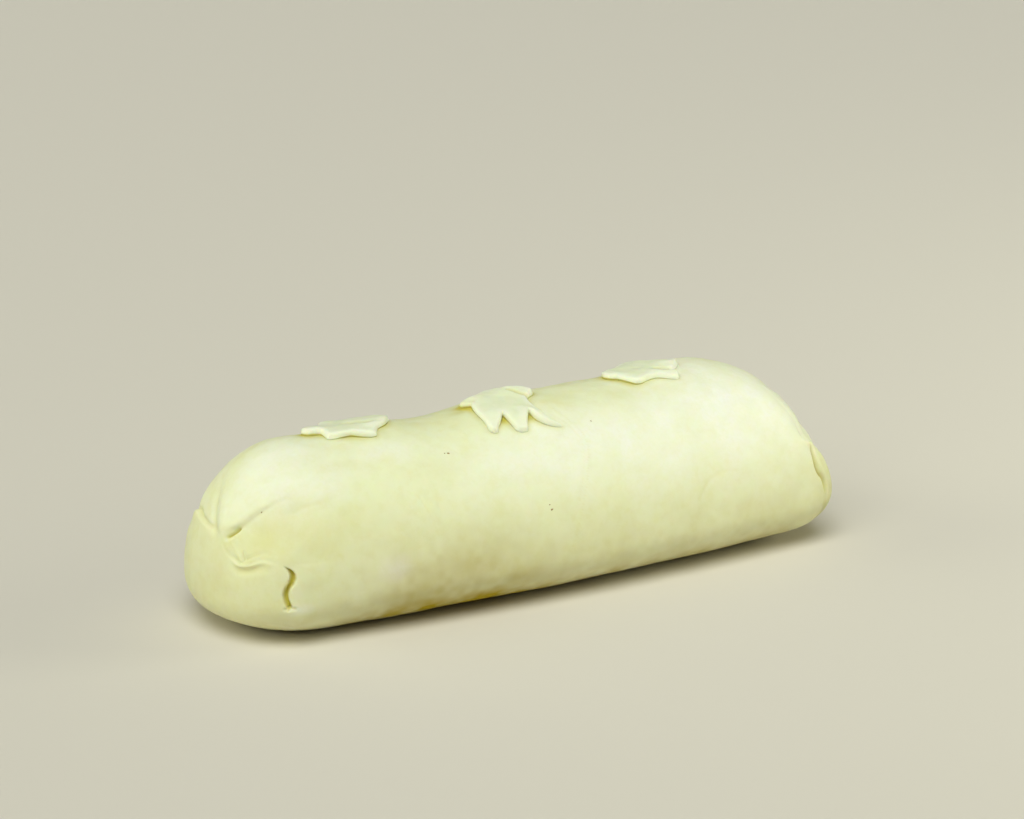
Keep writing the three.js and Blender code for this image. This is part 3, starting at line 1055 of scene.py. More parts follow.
    def crease_lines(self) -> list[tuple[Crease, Array, int]]:
        """Draws every crease and mark on the log.

        Returns:
            Each with the points that it runs through and with its hand, as pressed() takes them.
        """
        lines = []
        for mark in self.marks:
            x, degrees = np.array(mark.via, dtype=float).T
            line = curve_through(self.shape.skin(x, np.radians(degrees)), self.mark_points)
            lines.append((mark, line, 1))
        for end in self.shape.ends:
            for crease in end.creases:
                given = self.shape.end_places(end, crease.via)
                line = curve_through(given, self.crease_points)
                lines.append((crease, line, -end.side.value))
        return lines

    def of(self, at: Array, out: Array) -> tuple[Array, Array]:
        """The whole relief.

        Args:
            at: Places on the smooth skin.
            out: Outward directions there.

        Returns:
            Lift of each place off the skin, and the shade painted into its folds, from 0 to 1.
        """
        lift = self.unevenness(at)
        painted_shade = np.zeros(len(at))
        for end in self.shape.ends:
            for swell in end.swells:
                apart = np.linalg.norm(at - self.shape.end_places(end, [swell.middle]), axis=1)
                lift += swell.height * bell(apart, swell.size)
        parts = [self.flap_relief(end, at) for end in self.shape.ends]
        parts += [self.pressed(*drawn, at, out) for drawn in self.crease_lines()]
        for more, deep in parts:
            lift += more
            painted_shade = np.maximum(painted_shade, deep)
        return lift, np.clip(painted_shade, 0.0, 1.0)


# ---------------------------------------------------------------- colour and nodes


def linear(code: str) -> tuple[float, float, float, float]:
    """Turns an sRGB hex colour to linear.

    Args:
        code: The colour, such as "#ece9c0".

    Returns:
        Red, green, blue and full opacity.
    """
    parts = [int(code[i : i + 2], 16) / 255 for i in (1, 3, 5)]
    straight = [p / 12.92 if p <= 0.04045 else ((p + 0.055) / 1.055) ** 2.4 for p in parts]
    return (*straight, 1.0)


def add_node(
    tree: bpy.types.NodeTree, kind: str, links: dict[str | int, Any] | None = None, **settings: Any
) -> Any:
    """Adds one shader node.

    Args:
        tree: The material's node tree.
        kind: The node's type.
        links: Input name, number or identifier to an output socket, or to a plain value for it.
        settings: Properties of the node itself.

    Returns:
        The new node.
    """
    made = tree.nodes.new(kind)
    for name, value in settings.items():
        setattr(made, name, value)
    sockets = {socket.identifier: socket for socket in made.inputs}
    for name, source in (links or {}).items():
        socket = sockets.get(name) or made.inputs[name]
        if isinstance(source, bpy.types.NodeSocket):
            tree.links.new(source, socket)
        else:
            socket.default_value = source
    return made


@dataclass(frozen=True)
class Finish(ABC):
    """A finish with one even kind of surface.

    Attributes:
        name: The material's name.
    """

    name: str

    @abstractmethod
    def surface(self, tree: bpy.types.NodeTree) -> dict[str | int, Any]:
        """Works out the finish.

        Args:
            tree: The material's node tree.

        Returns:
            Each input of the surface shader to an output socket or a plain value.
        """

    def build(self) -> bpy.types.Material:
        """Makes the material.

        Returns:
            The new material.
        """
        material = bpy.data.materials.new(self.name)
        material.use_nodes = True
        tree = material.node_tree
        tree.nodes.clear()
        shader = add_node(tree, "ShaderNodeBsdfPrincipled", self.surface(tree))
        add_node(tree, "ShaderNodeOutputMaterial", {"Surface": shader.outputs["BSDF"]})
        return material


@dataclass(frozen=True)
class RawPuffPastry(Finish):
    """Raw puff pastry, rolled out on flour: a dense, buttery, faintly see-through wheat dough.

    It gives the eye a pale, cool cream that glows a little where light soaks in, chalkier where
    flour stuck and yellower where butter lies near the skin. Ochre shade is painted into the
    folds, low on the log and under the belly, where the light only comes from dough to dough;
    olive shade in the butter's colour is painted beside the left end's longest fold and over the
    back of the crown, and the flour's white is painted over the upper front and the left
    shoulder as highlight. Flour itself is finer than 0.2 mm, so its clumps are drawn instead.

    Attributes:
        dough: Colour of the plain dough.
        buttery: Where butter lies near the skin, and painted shade beside the left end's longest fold
            and over the back of the crown.
        floury: Where flour stuck, and painted highlight over the upper front and the left shoulder.
        fold: Painted shade down in the folds, gaps and notches.
        foot: Painted shade low on the log, towards the board.
        floury_roughness: How much rougher flour makes it.
        specular: How strongly bare dough mirrors.
        soak: Share of the light that soaks in.
        soak_mm: How deep it soaks in.
        soak_tint: How far red, green and blue get, over that.
        bump: How strongly streaks and grain catch the light.
        blotching: How broken up the edges of all patches are.
    """

    name: str = "raw_puff_pastry"
    dough: str = "#ebefc4"
    buttery: str = "#e3e4a8"
    floury: str = "#f8f9ee"
    fold: str = "#ccc04e"
    foot: str = "#aa962d"
    roughness: float = 0.58
    floury_roughness: float = 0.2
    specular: float = 0.35
    butter_patch_mm: float = 24.0
    butter_amount: float = 0.45
    mottle_mm: float = 5.5
    mottle_amount: float = 0.4
    drift_mm: float = 17.0
    flour_clump_mm: float = 1.6
    streak_mm: float = 9.0
    streak_height_mm: float = 0.176
    skin_grain_mm: float = 1.7
    skin_height_mm: float = 0.08
    ior: float = 1.45
    soak: float = 0.5
    soak_mm: float = 3.0
    soak_tint: Point = (1.0, 0.75, 0.32)
    bump: float = 0.6
    blotching: float = 0.55

    def surface(self, tree: bpy.types.NodeTree) -> dict[str | int, Any]:
        """Works out the dough's colour, shine and relief.

        Args:
            tree: The material's node tree.

        Returns:
            Each input of the surface shader to an output socket or a plain value.
        """
        place = add_node(tree, "ShaderNodeTexCoord").outputs["Object"]
        given = {}
        for name in ("painted_shade", "foot", "flour_and_highlight", "greasy_and_shaded"):
            given[name] = add_node(tree, "ShaderNodeAttribute", attribute_name=name).outputs["Fac"]

        noises = {}
        for name, size_mm, detail in (
            ("butter", self.butter_patch_mm, 3.0),
            ("mottle", self.mottle_mm, 4.0),
            ("drift", self.drift_mm, 4.0),
            ("clump", self.flour_clump_mm, 2.0),
            ("streak", self.streak_mm, 3.0),
            ("skin", self.skin_grain_mm, 3.0),
        ):
            links = {"Vector": place, "Scale": 1 / (size_mm * MM)}
            links |= {"Detail": detail, "Roughness": self.blotching}
            noises[name] = add_node(tree, "ShaderNodeTexNoise", links).outputs["Fac"]

        # Part of each noise, from low to high, is spread out from its least share to its most.
        shares = {}
        for name, low, high, least, most, rise in (
            ("butter", 0.46, 0.72, 0.0, self.butter_amount, "SMOOTHSTEP"),
            ("mottle", 0.44, 0.66, 0.0, self.mottle_amount, "SMOOTHSTEP"),
            ("drift", 0.4, 0.64, 0.7, 1.0, "SMOOTHSTEP"),
            ("clump", 0.3, 0.62, 0.8, 1.0, "LINEAR"),
        ):
            links = {"Value": noises[name], "From Min": low, "From Max": high}
            links |= {"To Min": least, "To Max": most}
            spread = add_node(tree, "ShaderNodeMapRange", links, interpolation_type=rise)
            shares[name] = spread.outputs["Result"]

        # Butter shows where the sheet is greasy, and faintly in patches elsewhere. Its colour is also
        # painted on as olive shade beside the left end's longest fold and over the back of the crown.
        butter = given["greasy_and_shaded"]
        for share in (shares["butter"], shares["mottle"]):
            links = {0: butter, 1: share}
            butter = add_node(tree, "ShaderNodeMath", links, operation="ADD", use_clamp=True).outputs[0]
        # Flour is rubbed in over broad areas, and lies in drifts that its clumps break up. The same
        # white is painted on as highlight over the upper front and the left shoulder.
        flour = given["flour_and_highlight"]
        for share in (shares["drift"], shares["clump"]):
            links = {0: flour, 1: share}
            flour = add_node(tree, "ShaderNodeMath", links, operation="MULTIPLY").outputs[0]

        # From the sheet up: butter with some painted shade, flour with some painted highlight, the
        # painted shade of the foot, and the painted shade in the folds.
        colour = linear(self.dough)
        for factor, over in (
            (butter, self.buttery),
            (flour, self.floury),
            (given["foot"], self.foot),
            (given["painted_shade"], self.fold),
        ):
            links = {"Factor": factor, "A_Color": colour, "B_Color": linear(over)}
            colour = add_node(tree, "ShaderNodeMix", links, data_type="RGBA").outputs[2]

        # Flour makes it rougher, and down by the board it mirrors only what is dark.
        surface = {}
        for socket, value, least, most in (
            ("Roughness", flour, self.roughness, self.roughness + self.floury_roughness),
            ("Specular IOR Level", given["foot"], self.specular, 0.0),
        ):
            links = {"Value": value, "To Min": least, "To Max": most}
            surface[socket] = add_node(tree, "ShaderNodeMapRange", links).outputs["Result"]

        relief = {"Strength": self.bump}
        for name, height_mm in (("streak", self.streak_height_mm), ("skin", self.skin_height_mm)):
            relief |= {"Height": noises[name], "Distance": height_mm * MM}
            relief["Normal"] = add_node(tree, "ShaderNodeBump", relief).outputs["Normal"]

        return surface | {
            "Base Color": colour,
            "Normal": relief["Normal"],
            "IOR": self.ior,
            "Subsurface Weight": self.soak,
            "Subsurface Radius": self.soak_tint,
            "Subsurface Scale": self.soak_mm * MM,
        }


@dataclass(frozen=True)
class WheatBran(Finish):
    """Fleck of wheat bran left in the flour when it was milled.

    It gives the eye a dull brown scale with a paler rim here and there.
    """

    name: str = "wheat_bran"
    dark: str = "#8a6a35"
    pale: str = "#b3965c"
    roughness: float = 0.8
    mottle_mm: float = 0.6

    def surface(self, tree: bpy.types.NodeTree) -> dict[str | int, Any]:
        """Works out the bran's colour.

        Args:
            tree: The material's node tree.

        Returns:
            Each input of the surface shader to an output socket or a plain value.
        """
        place = add_node(tree, "ShaderNodeTexCoord").outputs["Object"]
        links = {"Vector": place, "Scale": 1 / (self.mottle_mm * MM)}
        noise = add_node(tree, "ShaderNodeTexNoise", links)
        ramp = add_node(tree, "ShaderNodeValToRGB", {"Fac": noise.outputs["Fac"]})
        for element, colour in zip(ramp.color_ramp.elements, (self.dark, self.pale)):
            element.color = linear(colour)
        return {"Base Color": ramp.outputs["Color"], "Roughness": self.roughness}


@dataclass(frozen=True)
class StudioPaper(Finish):
    """Seamless studio paper: matt and pale, so that nothing on it draws the eye."""

    name: str = "studio_paper"
    colour: str = "#e0dad2"
    roughness: float = 0.9

    def surface(self, tree: bpy.types.NodeTree) -> dict[str | int, Any]:
        """Works out the paper's colour.

        Args:
            tree: The material's node tree, which is not used here.

        Returns:
            Each input of the surface shader to an output socket or a plain value.
        """
        return {"Base Color": linear(self.colour), "Roughness": self.roughness}


# ---------------------------------------------------------------- meshes


@dataclass(frozen=True)
class Place:
    """Where the log's own place lies within the part's frame.

    Attributes:
        across: How far the log is moved across, in millimetres.
    """

    across: float

    def metres(self, points: Array) -> Array:
        """Points in the part's frame, in metres."""
        return (points + np.array([0.0, self.across, 0.0])) * MM


def mesh_object(
    name: str,
    points: Array,
    faces: Array,
    material: bpy.types.Material,
    values: dict[str, Array] | None = None,
) -> bpy.types.Object:
    """Makes a smooth-shaded mesh object.

    Args:
        name: The piece's name.
        points: Corners in metres.
        faces: Corner numbers of each face, three or four to a row, -1 where a row has three.
        material: Its finish.
        values: Named values, one per corner, for the finish to read.

    Returns:
        The new object, linked to the scene.
    """
    mesh = bpy.data.meshes.new(name)
    counts = (faces >= 0).sum(axis=1)
    loops = faces[faces >= 0]
    mesh.vertices.add(len(points))
    mesh.vertices.foreach_set("co", points.astype(np.float32).ravel())
    mesh.loops.add(len(loops))
    mesh.loops.foreach_set("vertex_index", loops.astype(np.int32))
    mesh.polygons.add(len(faces))
    starts = np.concatenate([[0], np.cumsum(counts)[:-1]])
    mesh.polygons.foreach_set("loop_start", starts.astype(np.int32))
    mesh.polygons.foreach_set("use_smooth", np.ones(len(faces), dtype=bool))
    mesh.update(calc_edges=True)
    mesh.validate()
    for label, numbers in (values or {}).items():
        attribute = mesh.attributes.new(label, "FLOAT", "POINT")
        attribute.data.foreach_set("value", numbers.astype(np.float32))
    mesh.materials.append(material)
    made = bpy.data.objects.new(name, mesh)
    bpy.context.scene.collection.objects.link(made)
    return made


def tube_faces(rings: int, around: int) -> Array:
    """Faces of a closed body of rings between two poles.

    Args:
        rings: Rings between the poles.
        around: Corners on each ring.

    Returns:
        Face rows. Corner 0 is the first pole, the last corner the second, and ring i's corner j
        is 1 + i * around + j.
    """
    j = np.arange(around)
    k = (j + 1) % around
    last = 1 + rings * around
    low = (1 + np.arange(rings - 1) * around)[:, None]
    sides = np.stack([low + j, low + around + j, low + around + k, low + k], axis=-1)
    none = np.full(around, -1)
    first = np.stack([np.zeros(around, int), 1 + j, 1 + k, none], axis=1)
    top = 1 + (rings - 1) * around
    second = np.stack([np.full(around, last), top + k, top + j, none], axis=1)
    return np.vstack([first, sides.reshape(-1, 4), second])


# ---------------------------------------------------------------- the wrapped fillet


@dataclass
class PastryPiece:
    """A piece of the dressed wellington, made over the smooth log.

    Attributes:
        shape: The smooth log.
        relief: Its folds and unevenness.
        place: Where the log stands in the part.
    """

    shape: LogShape
    relief: Relief
    place: Place


@dataclass(frozen=True)
class Patch:
    """Soft-edged area on the log.

    Attributes:
        x: Where its middle lies along the log.
        turn: Where its middle lies round the log, in degrees.
        half_length: Half its length along the log.
        half_turn: Half its reach round the log, in degrees.
        amount: How strongly it shows, from 0 to 1.
    """

    x: float
    turn: float
    half_length: float
    half_turn: float
    amount: float

    def strength(self, at: Array, degrees: Array) -> Array:
        """Works out how strongly it shows.

        Args:
            at: Places on the skin.
            degrees: Their angles round the log.

        Returns:
            Its strength at each place.
        """
        along = (at[:, 0] - self.x) / self.half_length
        return self.amount * bell(np.hypot(along, (degrees - self.turn) / self.half_turn), 1.0)


@dataclass(frozen=True)
class FootShade:
    """Band of painted shade low on the log, where little light comes.

    Attributes:
        amount: How strongly it shows.
        heights: Heights between which it fades out.
        everywhere: Share of it all along the log.
        x: Where it shows most.
        more: Share added there.
        half_length: How far along the log that reaches.
    """

    amount: float
    heights: Pair
    everywhere: float
    x: float
    more: float
    half_length: float

    def strength(self, at: Array) -> Array:
        """How strongly it shows at each place on the skin."""
        along = self.everywhere + self.more * bell(at[:, 0] - self.x, self.half_length)
        return self.amount * (1.0 - smooth(at[:, 2], *self.heights)) * along


@dataclass
class WrappedFillet(PastryPiece):
    """The wrapped log with its gathered ends and flaps, as one fine mesh.

    Attributes:
        around: Corners round the log.
        left_rings: Rings over the left end, which shows the finest folds.
        right_rings: Rings over the right end.
        barrel_rings: Rings between them.
        crowding: How much closer together the corners round the log stand on its front.
        crowded: Middle and half-width of that stretch, in degrees.
        contact_round: How softly the underside turns up from the board.
        dusting: How floury the sheet is all over.
        flour_and_highlight_patches: Where more flour is rubbed in, and where highlight is painted.
        butter_and_shade_patches: Where butter lies near the skin, and where olive shade is painted in
            the butter's colour.
        shadings: Patches of painted shade, where little light reaches.
        flap_grease: How buttery the flaps look.
        grease_edge: Distance outside and inside a flap's edge between which that begins.
        foot_shades: The painted shade of the foot.
        foot_shade_faded: Share by which it is weaker on the left end, and again at the back.
        foot_shade_left: How far left of the middle that begins, and where it is whole.
        foot_shade_back: The same behind the middle.
        foot_shade_mottle: Its unevenness, as (amount, size, seed).
        leaves: The leaves that lie on it.
    """

    around: int = 480
    left_rings: int = 150
    right_rings: int = 120
    barrel_rings: int = 240
    crowding: float = 1.3
    crowded: Pair = (150.0, 48.0)
    contact_round: float = 0.8
    dusting: float = 0.3
    flour_and_highlight_patches: tuple[Patch, ...] = (
        # The four broad ones first, over the upper front, the right third and the left shoulder, are
        # painted highlight.
        Patch(95, 125, 62, 48, 1.0),
        Patch(-116, 118, 26, 40, 0.9),
        Patch(10, 132, 75, 30, 0.85),
        Patch(48, 134, 45, 30, 1.0),
        Patch(-72, 116, 22, 11, 0.7),
        Patch(-83, 172, 9, 7, 1.0),
        Patch(-125, 186, 6, 7, 1.0),
        Patch(60, 40, 60, 40, 0.6),
        Patch(-60, 30, 50, 40, 0.5),
    )
    butter_and_shade_patches: tuple[Patch, ...] = (
        # The first three paint olive shade on the left end, beside its longest fold.
        Patch(-132, 146, 9, 13, 1.0),
        Patch(-125, 137, 8, 8, 1.0),
        Patch(-118, 152, 16, 13, 0.8),
        Patch(-98, 119.5, 8, 3, 1.0),
        Patch(-77.7, 120.8, 8, 3, 0.8),
        Patch(-57.5, 93.6, 18, 7, 0.6),
        Patch(-35, 88, 14, 6, 0.7),
        Patch(17, 100, 14, 7, 0.5),
        Patch(55.3, 111.4, 7, 4, 0.4),
        Patch(-54, 130, 16, 8, 0.5),
        Patch(50, 107, 17, 6, 0.8),
        Patch(76, 160, 14, 9, 0.5),
        # The long band over the back of the crown is painted shade.
        Patch(-20, 78, 90, 14, 0.7),
    )
    shadings: tuple[Patch, ...] = (
        Patch(-26, 91, 5, 3.5, 0.5),
        Patch(-70, 100, 3.5, 4.5, 0.22),
        Patch(71, 102, 4, 2, 0.15),
        Patch(-128, 146, 12, 11, 0.2),
        Patch(-92, 150, 22, 12, 0.08),
    )
    flap_grease: float = 0.5
    grease_edge: Pair = (-6.0, 4.0)
    foot_shades: tuple[FootShade, ...] = (
        FootShade(0.72, (0.0, 62.0), 0.47, x=-55.0, more=0.5, half_length=40.0),
        FootShade(0.45, (5.0, 15.0), 0.5, x=-35.0, more=0.5, half_length=50.0),
    )
    foot_shade_faded: float = 0.45
    foot_shade_left: Pair = (86.0, 112.0)
    foot_shade_back: Pair = (0.0, 30.0)
    foot_shade_mottle: tuple[Wave, ...] = ((0.28, 9.0, 61), (0.16, 3.5, 62))
    leaves: tuple[LeafCut, ...] = LEAF_CUTS

    def angles(self) -> Array:
        """Spreads the corners round the log, closer together on the front, where the folds are.

        Returns:
            Their angles.
        """
        middle, spread = (math.radians(degrees) for degrees in self.crowded)
        fine = np.linspace(0.0, 2.0 * math.pi, 4000)
        crowd = 1.0 + self.crowding * bell(fine - middle, spread)
        run = np.concatenate([[0.0], np.cumsum((crowd[1:] + crowd[:-1]) / 2)])
        return np.interp(np.arange(self.around) / self.around * run[-1], run, fine)

    def stations(self, angles: Array) -> Array:
        """Spreads the rings along the log.

        Args:
            angles: Angles of the corners round it.

        Returns:
            Station of every ring at every angle, tip to tip.
        """
        half = self.shape.length / 2
        power = 2.0 / self.shape.fullness
        caps = []
        for end, count in zip(self.shape.ends, (self.left_rings, self.right_rings)):
            turn = math.pi / 2 * (1.0 - np.arange(1, count + 1) / count)[:, None]
            reach = self.shape.rounding(end, angles)[None]
            caps.append(end.side.value * (half - reach + reach * np.sin(turn) ** power))
        start, stop = caps[0], caps[1][::-1]
        share = (np.arange(1, self.barrel_rings) / self.barrel_rings)[:, None]
        barrel = start[-1:] * (1.0 - share) + stop[:1] * share
        return np.vstack([start, barrel, stop])

    def looks(self, at: Array, degrees: Array, painted_shade: Array) -> dict[str, Array]:
        """How the dough's colour varies over the log.

        Args:
            at: Places on the skin.
            degrees: Their angles round the log.
            painted_shade: The shade painted into their folds.

        Returns:
            At each place, from 0 to 1: its painted shade, the painted shade of the foot, how much
            flour is rubbed into it, with painted highlight in places, and how greasy it is, with
            painted shade in places.
        """
        # Painted shade low on the log, strongest left of the middle and weaker at the left end and the
        # back.
        foot = sum(band.strength(at) for band in self.foot_shades)
        for faded in (smooth(-at[:, 0], *self.foot_shade_left), smooth(at[:, 1], *self.foot_shade_back)):
            foot = foot * (1.0 - self.foot_shade_faded * faded)
        foot = foot * (1.0 + ripples(at, self.foot_shade_mottle))
        greasy_and_shaded = np.zeros(len(at))
        for end in self.shape.ends:
            inset, _, _ = self.relief.flap_inset(end, at)
            on_flap = smooth(inset, *self.grease_edge) * self.shape.near(end, at)
            greasy_and_shaded = np.maximum(greasy_and_shaded, self.flap_grease * on_flap)
        found = {"painted_shade": painted_shade, "flour_and_highlight": np.full(len(at), self.dusting), "greasy_and_shaded": greasy_and_shaded}
        patches = {"painted_shade": self.shadings, "flour_and_highlight": self.flour_and_highlight_patches, "greasy_and_shaded": self.butter_and_shade_patches}
        for name, spots in patches.items():
            for spot in spots:
                found[name] = np.maximum(found[name], spot.strength(at, degrees))
        return found | {"foot": np.clip(foot, 0.0, 1.0)}

    def build(self, finish: bpy.types.Material) -> bpy.types.Object:
        """Makes the piece that shows instead of the parcel's solid.

        Args:
            finish: The pastry's material.

        Returns:
            The new object.
        """
        angles = self.angles()
        stations = self.stations(angles)
        half = self.shape.length / 2
        x = np.concatenate([[-half], stations.ravel(), [half]])
        around = np.concatenate([[0.0], np.broadcast_to(angles, stations.shape).ravel(), [0.0]])
        skin = self.shape.skin(x, around)
        out = self.shape.outward(skin)
        lift, painted_shade = self.relief.of(skin, out)
        # Shade is painted beside the leaves' edges, deepest in their notches and where they stand off.
        for leaf in self.leaves:
            painted_shade = np.maximum(painted_shade, leaf.shade_beside(self.shape, skin))
        made = skin + out * lift[:, None]
        made[:, 2] = (made[:, 2] + np.sqrt(made[:, 2] ** 2 + self.contact_round**2)) / 2
        made[:, 2] -= made[:, 2].min()
        faces = tube_faces(len(stations), self.around)
        looks = self.looks(skin, np.degrees(around), painted_shade)
        piece = mesh_object("wrapped_fillet", self.place.metres(made), faces, finish, looks)
        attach(piece, "root")
        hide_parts(PARCEL_NODE)
        return piece


# ---------------------------------------------------------------- the leaves


@dataclass(frozen=True)
class LeafNet:
    """Fine net of triangles inside a leaf's cut edge.

    Attributes:
        corners: Its corners as (along, towards the front), those on the edge first.
        rim: How many of them lie on the edge.
        standing: How far the leaf stands off the crown at each.
        inset: How far each lies inside the edge.
        lift: How far the leaf's ridges and creases lift it at each.
        triangles: Corner numbers of each triangle.
    """

    corners: Array
    rim: int
    standing: Array
    inset: Array
    lift: Array
    triangles: Array


@dataclass
class PastryLeaf(PastryPiece):
    """One leaf cut from the rolled sheet and laid over the crown.

    Attributes:
        cut: Where it lies and its outline.
        thickness: Of the rolled sheet it was cut from.
        net: Distance between corners of its mesh.
        lain: Distance from its middle within which it lies flat on the dough.
        sunk: How far its underside sinks into the dough under it.
        sag: Height up to which a standing edge sags back on to the dough.
        loose: Standing height from which an edge looks loose.
        rim: Share of the thickness left at a loose edge.
        shoulder: Distance over which a loose edge rounds up to the whole thickness.
        pressed: Distance over which an edge that is stuck down does so.
        undercut: Share of the outline's size at the gap under a loose edge.
        gap_height: How far up that gap the dough under it closes, of its height.
        waves: Height, size and seed of the unevenness of its upper side.
        floury_rim: How far in from the edge flour shows.
        flour: How floury it is in the middle, and how much more so at the edge and on ridges.
        grease: How greasy it is in the middle.
        floury_ridge: Height from which a ridge is wholly floury.
        gap_shade: How deep the shade painted in the gap and on the underside is.
        crease_shade: How deep the shade painted in a crease is.
        edge_shade: How deep the shade painted on the rounding at a loose edge is, and on the sheet's
            edge itself.
        edge_start: How far above the dough its edge starts, so that the two never share a face.
        edge_clear: How far the mesh's inner corners keep off the edge, over the distance net.
        fold_points: Points that a fold's line is drawn with.
    """

    cut: LeafCut
    thickness: float = 2.0
    net: float = 0.45
    lain: float = 12.0
    sunk: float = 0.7
    sag: float = 0.9
    loose: float = 0.5
    rim: float = 0.18
    shoulder: float = 1.4
    pressed: float = 1.3
    undercut: float = 0.985
    gap_height: float = 0.6
    waves: tuple[Wave, ...] = ((0.34, 11.0, 45), (0.2, 5.5, 41), (0.07, 2.4, 43))
    floury_rim: float = 2.6
    flour: Pair = (0.15, 0.55)
    grease: float = 0.5
    floury_ridge: float = 0.4
    gap_shade: float = 0.8
    crease_shade: float = 0.6
    edge_shade: Pair = (0.1, 0.15)
    edge_start: float = 0.02
    edge_clear: float = 0.6
    fold_points: int = 30

    def within(self, points: Array, edge: Array) -> Array:
        """Tells which places lie inside the cut edge.

        Args:
            points: Places as (along, towards the front).
            edge: Points round the edge.

        Returns:
            True for each place inside.
        """
        following = np.roll(edge, -1, axis=0)
        above = edge[None, :, 1] > points[:, None, 1]
        above_next = following[None, :, 1] > points[:, None, 1]
        share = (points[:, None, 1] - edge[None, :, 1]) / (following[:, 1] - edge[:, 1] + 1e-12)
        crossing = edge[None, :, 0] + share * (following[:, 0] - edge[:, 0])
        passed = (above != above_next) & (points[:, None, 0] < crossing)
        return passed.sum(axis=1) % 2 == 1

    def folded(self, corners: Array) -> Array:
        """Works out how its ridges and creases lift it.

        Args:
            corners: Places as (along, towards the front).

        Returns:
            Lift of each place.
        """
        lift = np.zeros(len(corners))
        for fold in self.cut.folds:
            apart = nearest_apart(corners, curve_through(fold.via, self.fold_points))
            lift += fold.height * bell(apart, fold.width)
        return lift

    def sheet(self) -> LeafNet:
        """Lays a fine net of triangles inside the cut edge.

        Returns:
            The net.
        """
        outline = self.cut.outline()
        edge = outline[:, :2]
        low, high = edge.min(axis=0), edge.max(axis=0)
        # Rows of triangles with equal sides lie the root of 0.75 sides apart.
        rows = np.arange(low[1], high[1], self.net * math.sqrt(0.75))[:, None]
        columns = np.arange(low[0], high[0], self.net)
        shift = (np.arange(len(rows)) % 2)[:, None] * self.net / 2.0
        grid = np.stack(np.broadcast_arrays(columns + shift, rows), axis=-1).reshape(-1, 2)
        clear = nearest_apart(grid, edge) > self.edge_clear * self.net
        grid = grid[self.within(grid, edge) & clear]
        corners = np.vstack([edge, grid])
        loop = list(range(len(edge)))
        made = delaunay_2d_cdt([Vector(corner) for corner in corners], [], [loop], 1, 1e-6)

        # Each corner stands off as the edge near it does, and not at all in the leaf's middle.
        # The 0.1 keeps the weight of a corner on the edge finite.
        apart = np.linalg.norm(corners[:, None] - edge[None], axis=2)
        weight = 1.0 / (apart**2 + 0.1) ** 2
        standing = (weight * outline[:, 2]).sum(axis=1) / weight.sum(axis=1)
        standing *= smooth(np.linalg.norm(corners, axis=1), 0.0, self.lain)
        lift = self.folded(corners)
        return LeafNet(corners, len(edge), standing, apart.min(axis=1), lift, np.array(made[2]))

    def looseness(self, net: LeafNet) -> Array:
        """How loose the leaf looks at each corner: 0 where it is stuck down, 1 where it stands off."""
        return np.clip(net.standing / self.loose, 0.0, 1.0)

    def bluntness(self, net: LeafNet) -> Array:
        """Share of the whole thickness that a loose edge has at each corner."""
        return self.rim + (1.0 - self.rim) * rounded(net.inset / self.shoulder)

    def layers(self, net: LeafNet) -> Array:
        """Lifts the net off the crown as the leaf's upper side, underside and edge.

        Args:
            net: The net.

        Returns:
            Corners of the upper side, of the underside, of the sheet's edge, and of the gap under
            it, which lies further in.
        """
        along, front = net.corners.T
        on_crown = self.shape.crown_place(self.cut.x + along, self.cut.over + front)
        out = self.shape.outward(on_crown)
        bed = self.relief.unevenness(on_crown)

        # A loose edge is round and blunt, one that is stuck down runs out softly.
        free = self.looseness(net)
        full = free * self.bluntness(net) + (1.0 - free) * smooth(net.inset, 0.0, self.pressed)
        thick = self.thickness + net.lift + ripples(on_crown, self.waves)
        top = bed + net.standing + full * thick
        under = bed + np.clip(net.standing - self.sag, 0.0, None) - self.sunk
        edge = bed + net.standing + self.edge_start
        gap = bed + self.gap_height * net.standing

        further_in = self.undercut * net.corners.T
        inwards = self.shape.crown_place(self.cut.x + further_in[0], self.cut.over + further_in[1])
        whole, rim = slice(None), slice(net.rim)
        layers = (
            (on_crown, top, whole),
            (on_crown, under, whole),
            (on_crown, edge, rim),
            (inwards, gap, rim),
        )
        return np.vstack([(foot + out * height[:, None])[part] for foot, height, part in layers])

    def faces(self, net: LeafNet) -> Array:
        """Joins the layers' corners to a closed body.

        Args:
            net: The net.

        Returns:
            Face rows.
        """
        count, rim = len(net.corners), net.rim
        none = np.full((len(net.triangles), 1), -1)
        faces = [np.hstack([net.triangles, none]), np.hstack([net.triangles[:, ::-1] + count, none])]
        i = np.arange(rim)
        k = (i + 1) % rim
        # Down the edge from the upper side: the sheet's edge, the gap, the underside.
        starts = (0, 2 * count, 2 * count + rim, count)
        for start, stop in zip(starts, starts[1:]):
            faces.append(np.stack([i + start, i + stop, k + stop, k + start], axis=1))
        return np.vstack(faces)

    def looks(self, net: LeafNet) -> dict[str, Array]:
        """How the dough's colour varies over the leaf.

        Args:
            net: The net.

        Returns:
            For each corner of the layers, from 0 to 1: its painted shade, the painted shade of the
            foot, how floury it is and how greasy.
        """
        free = self.looseness(net)
        rounding, edge = self.edge_shade
        creased = self.crease_shade * np.clip(-net.lift, 0.0, 1.0)
        shaded = np.maximum(rounding * free * (1.0 - self.bluntness(net)), creased)
        near_rim = bell(net.inset, self.floury_rim)
        floury = np.maximum(near_rim, np.clip(net.lift / self.floury_ridge, 0.0, 1.0))
        gap = self.gap_shade * free
        rest = np.zeros(len(net.corners) + 2 * net.rim)
        plain, more = self.flour
        return {
            "painted_shade": np.concatenate([shaded, gap, edge * free[: net.rim], gap[: net.rim]]),
            "foot": np.zeros(len(net.corners) + len(rest)),
            "flour_and_highlight": np.concatenate([plain + more * floury, rest]),
            "greasy_and_shaded": np.concatenate([self.grease * (1.0 - near_rim), rest]),
        }

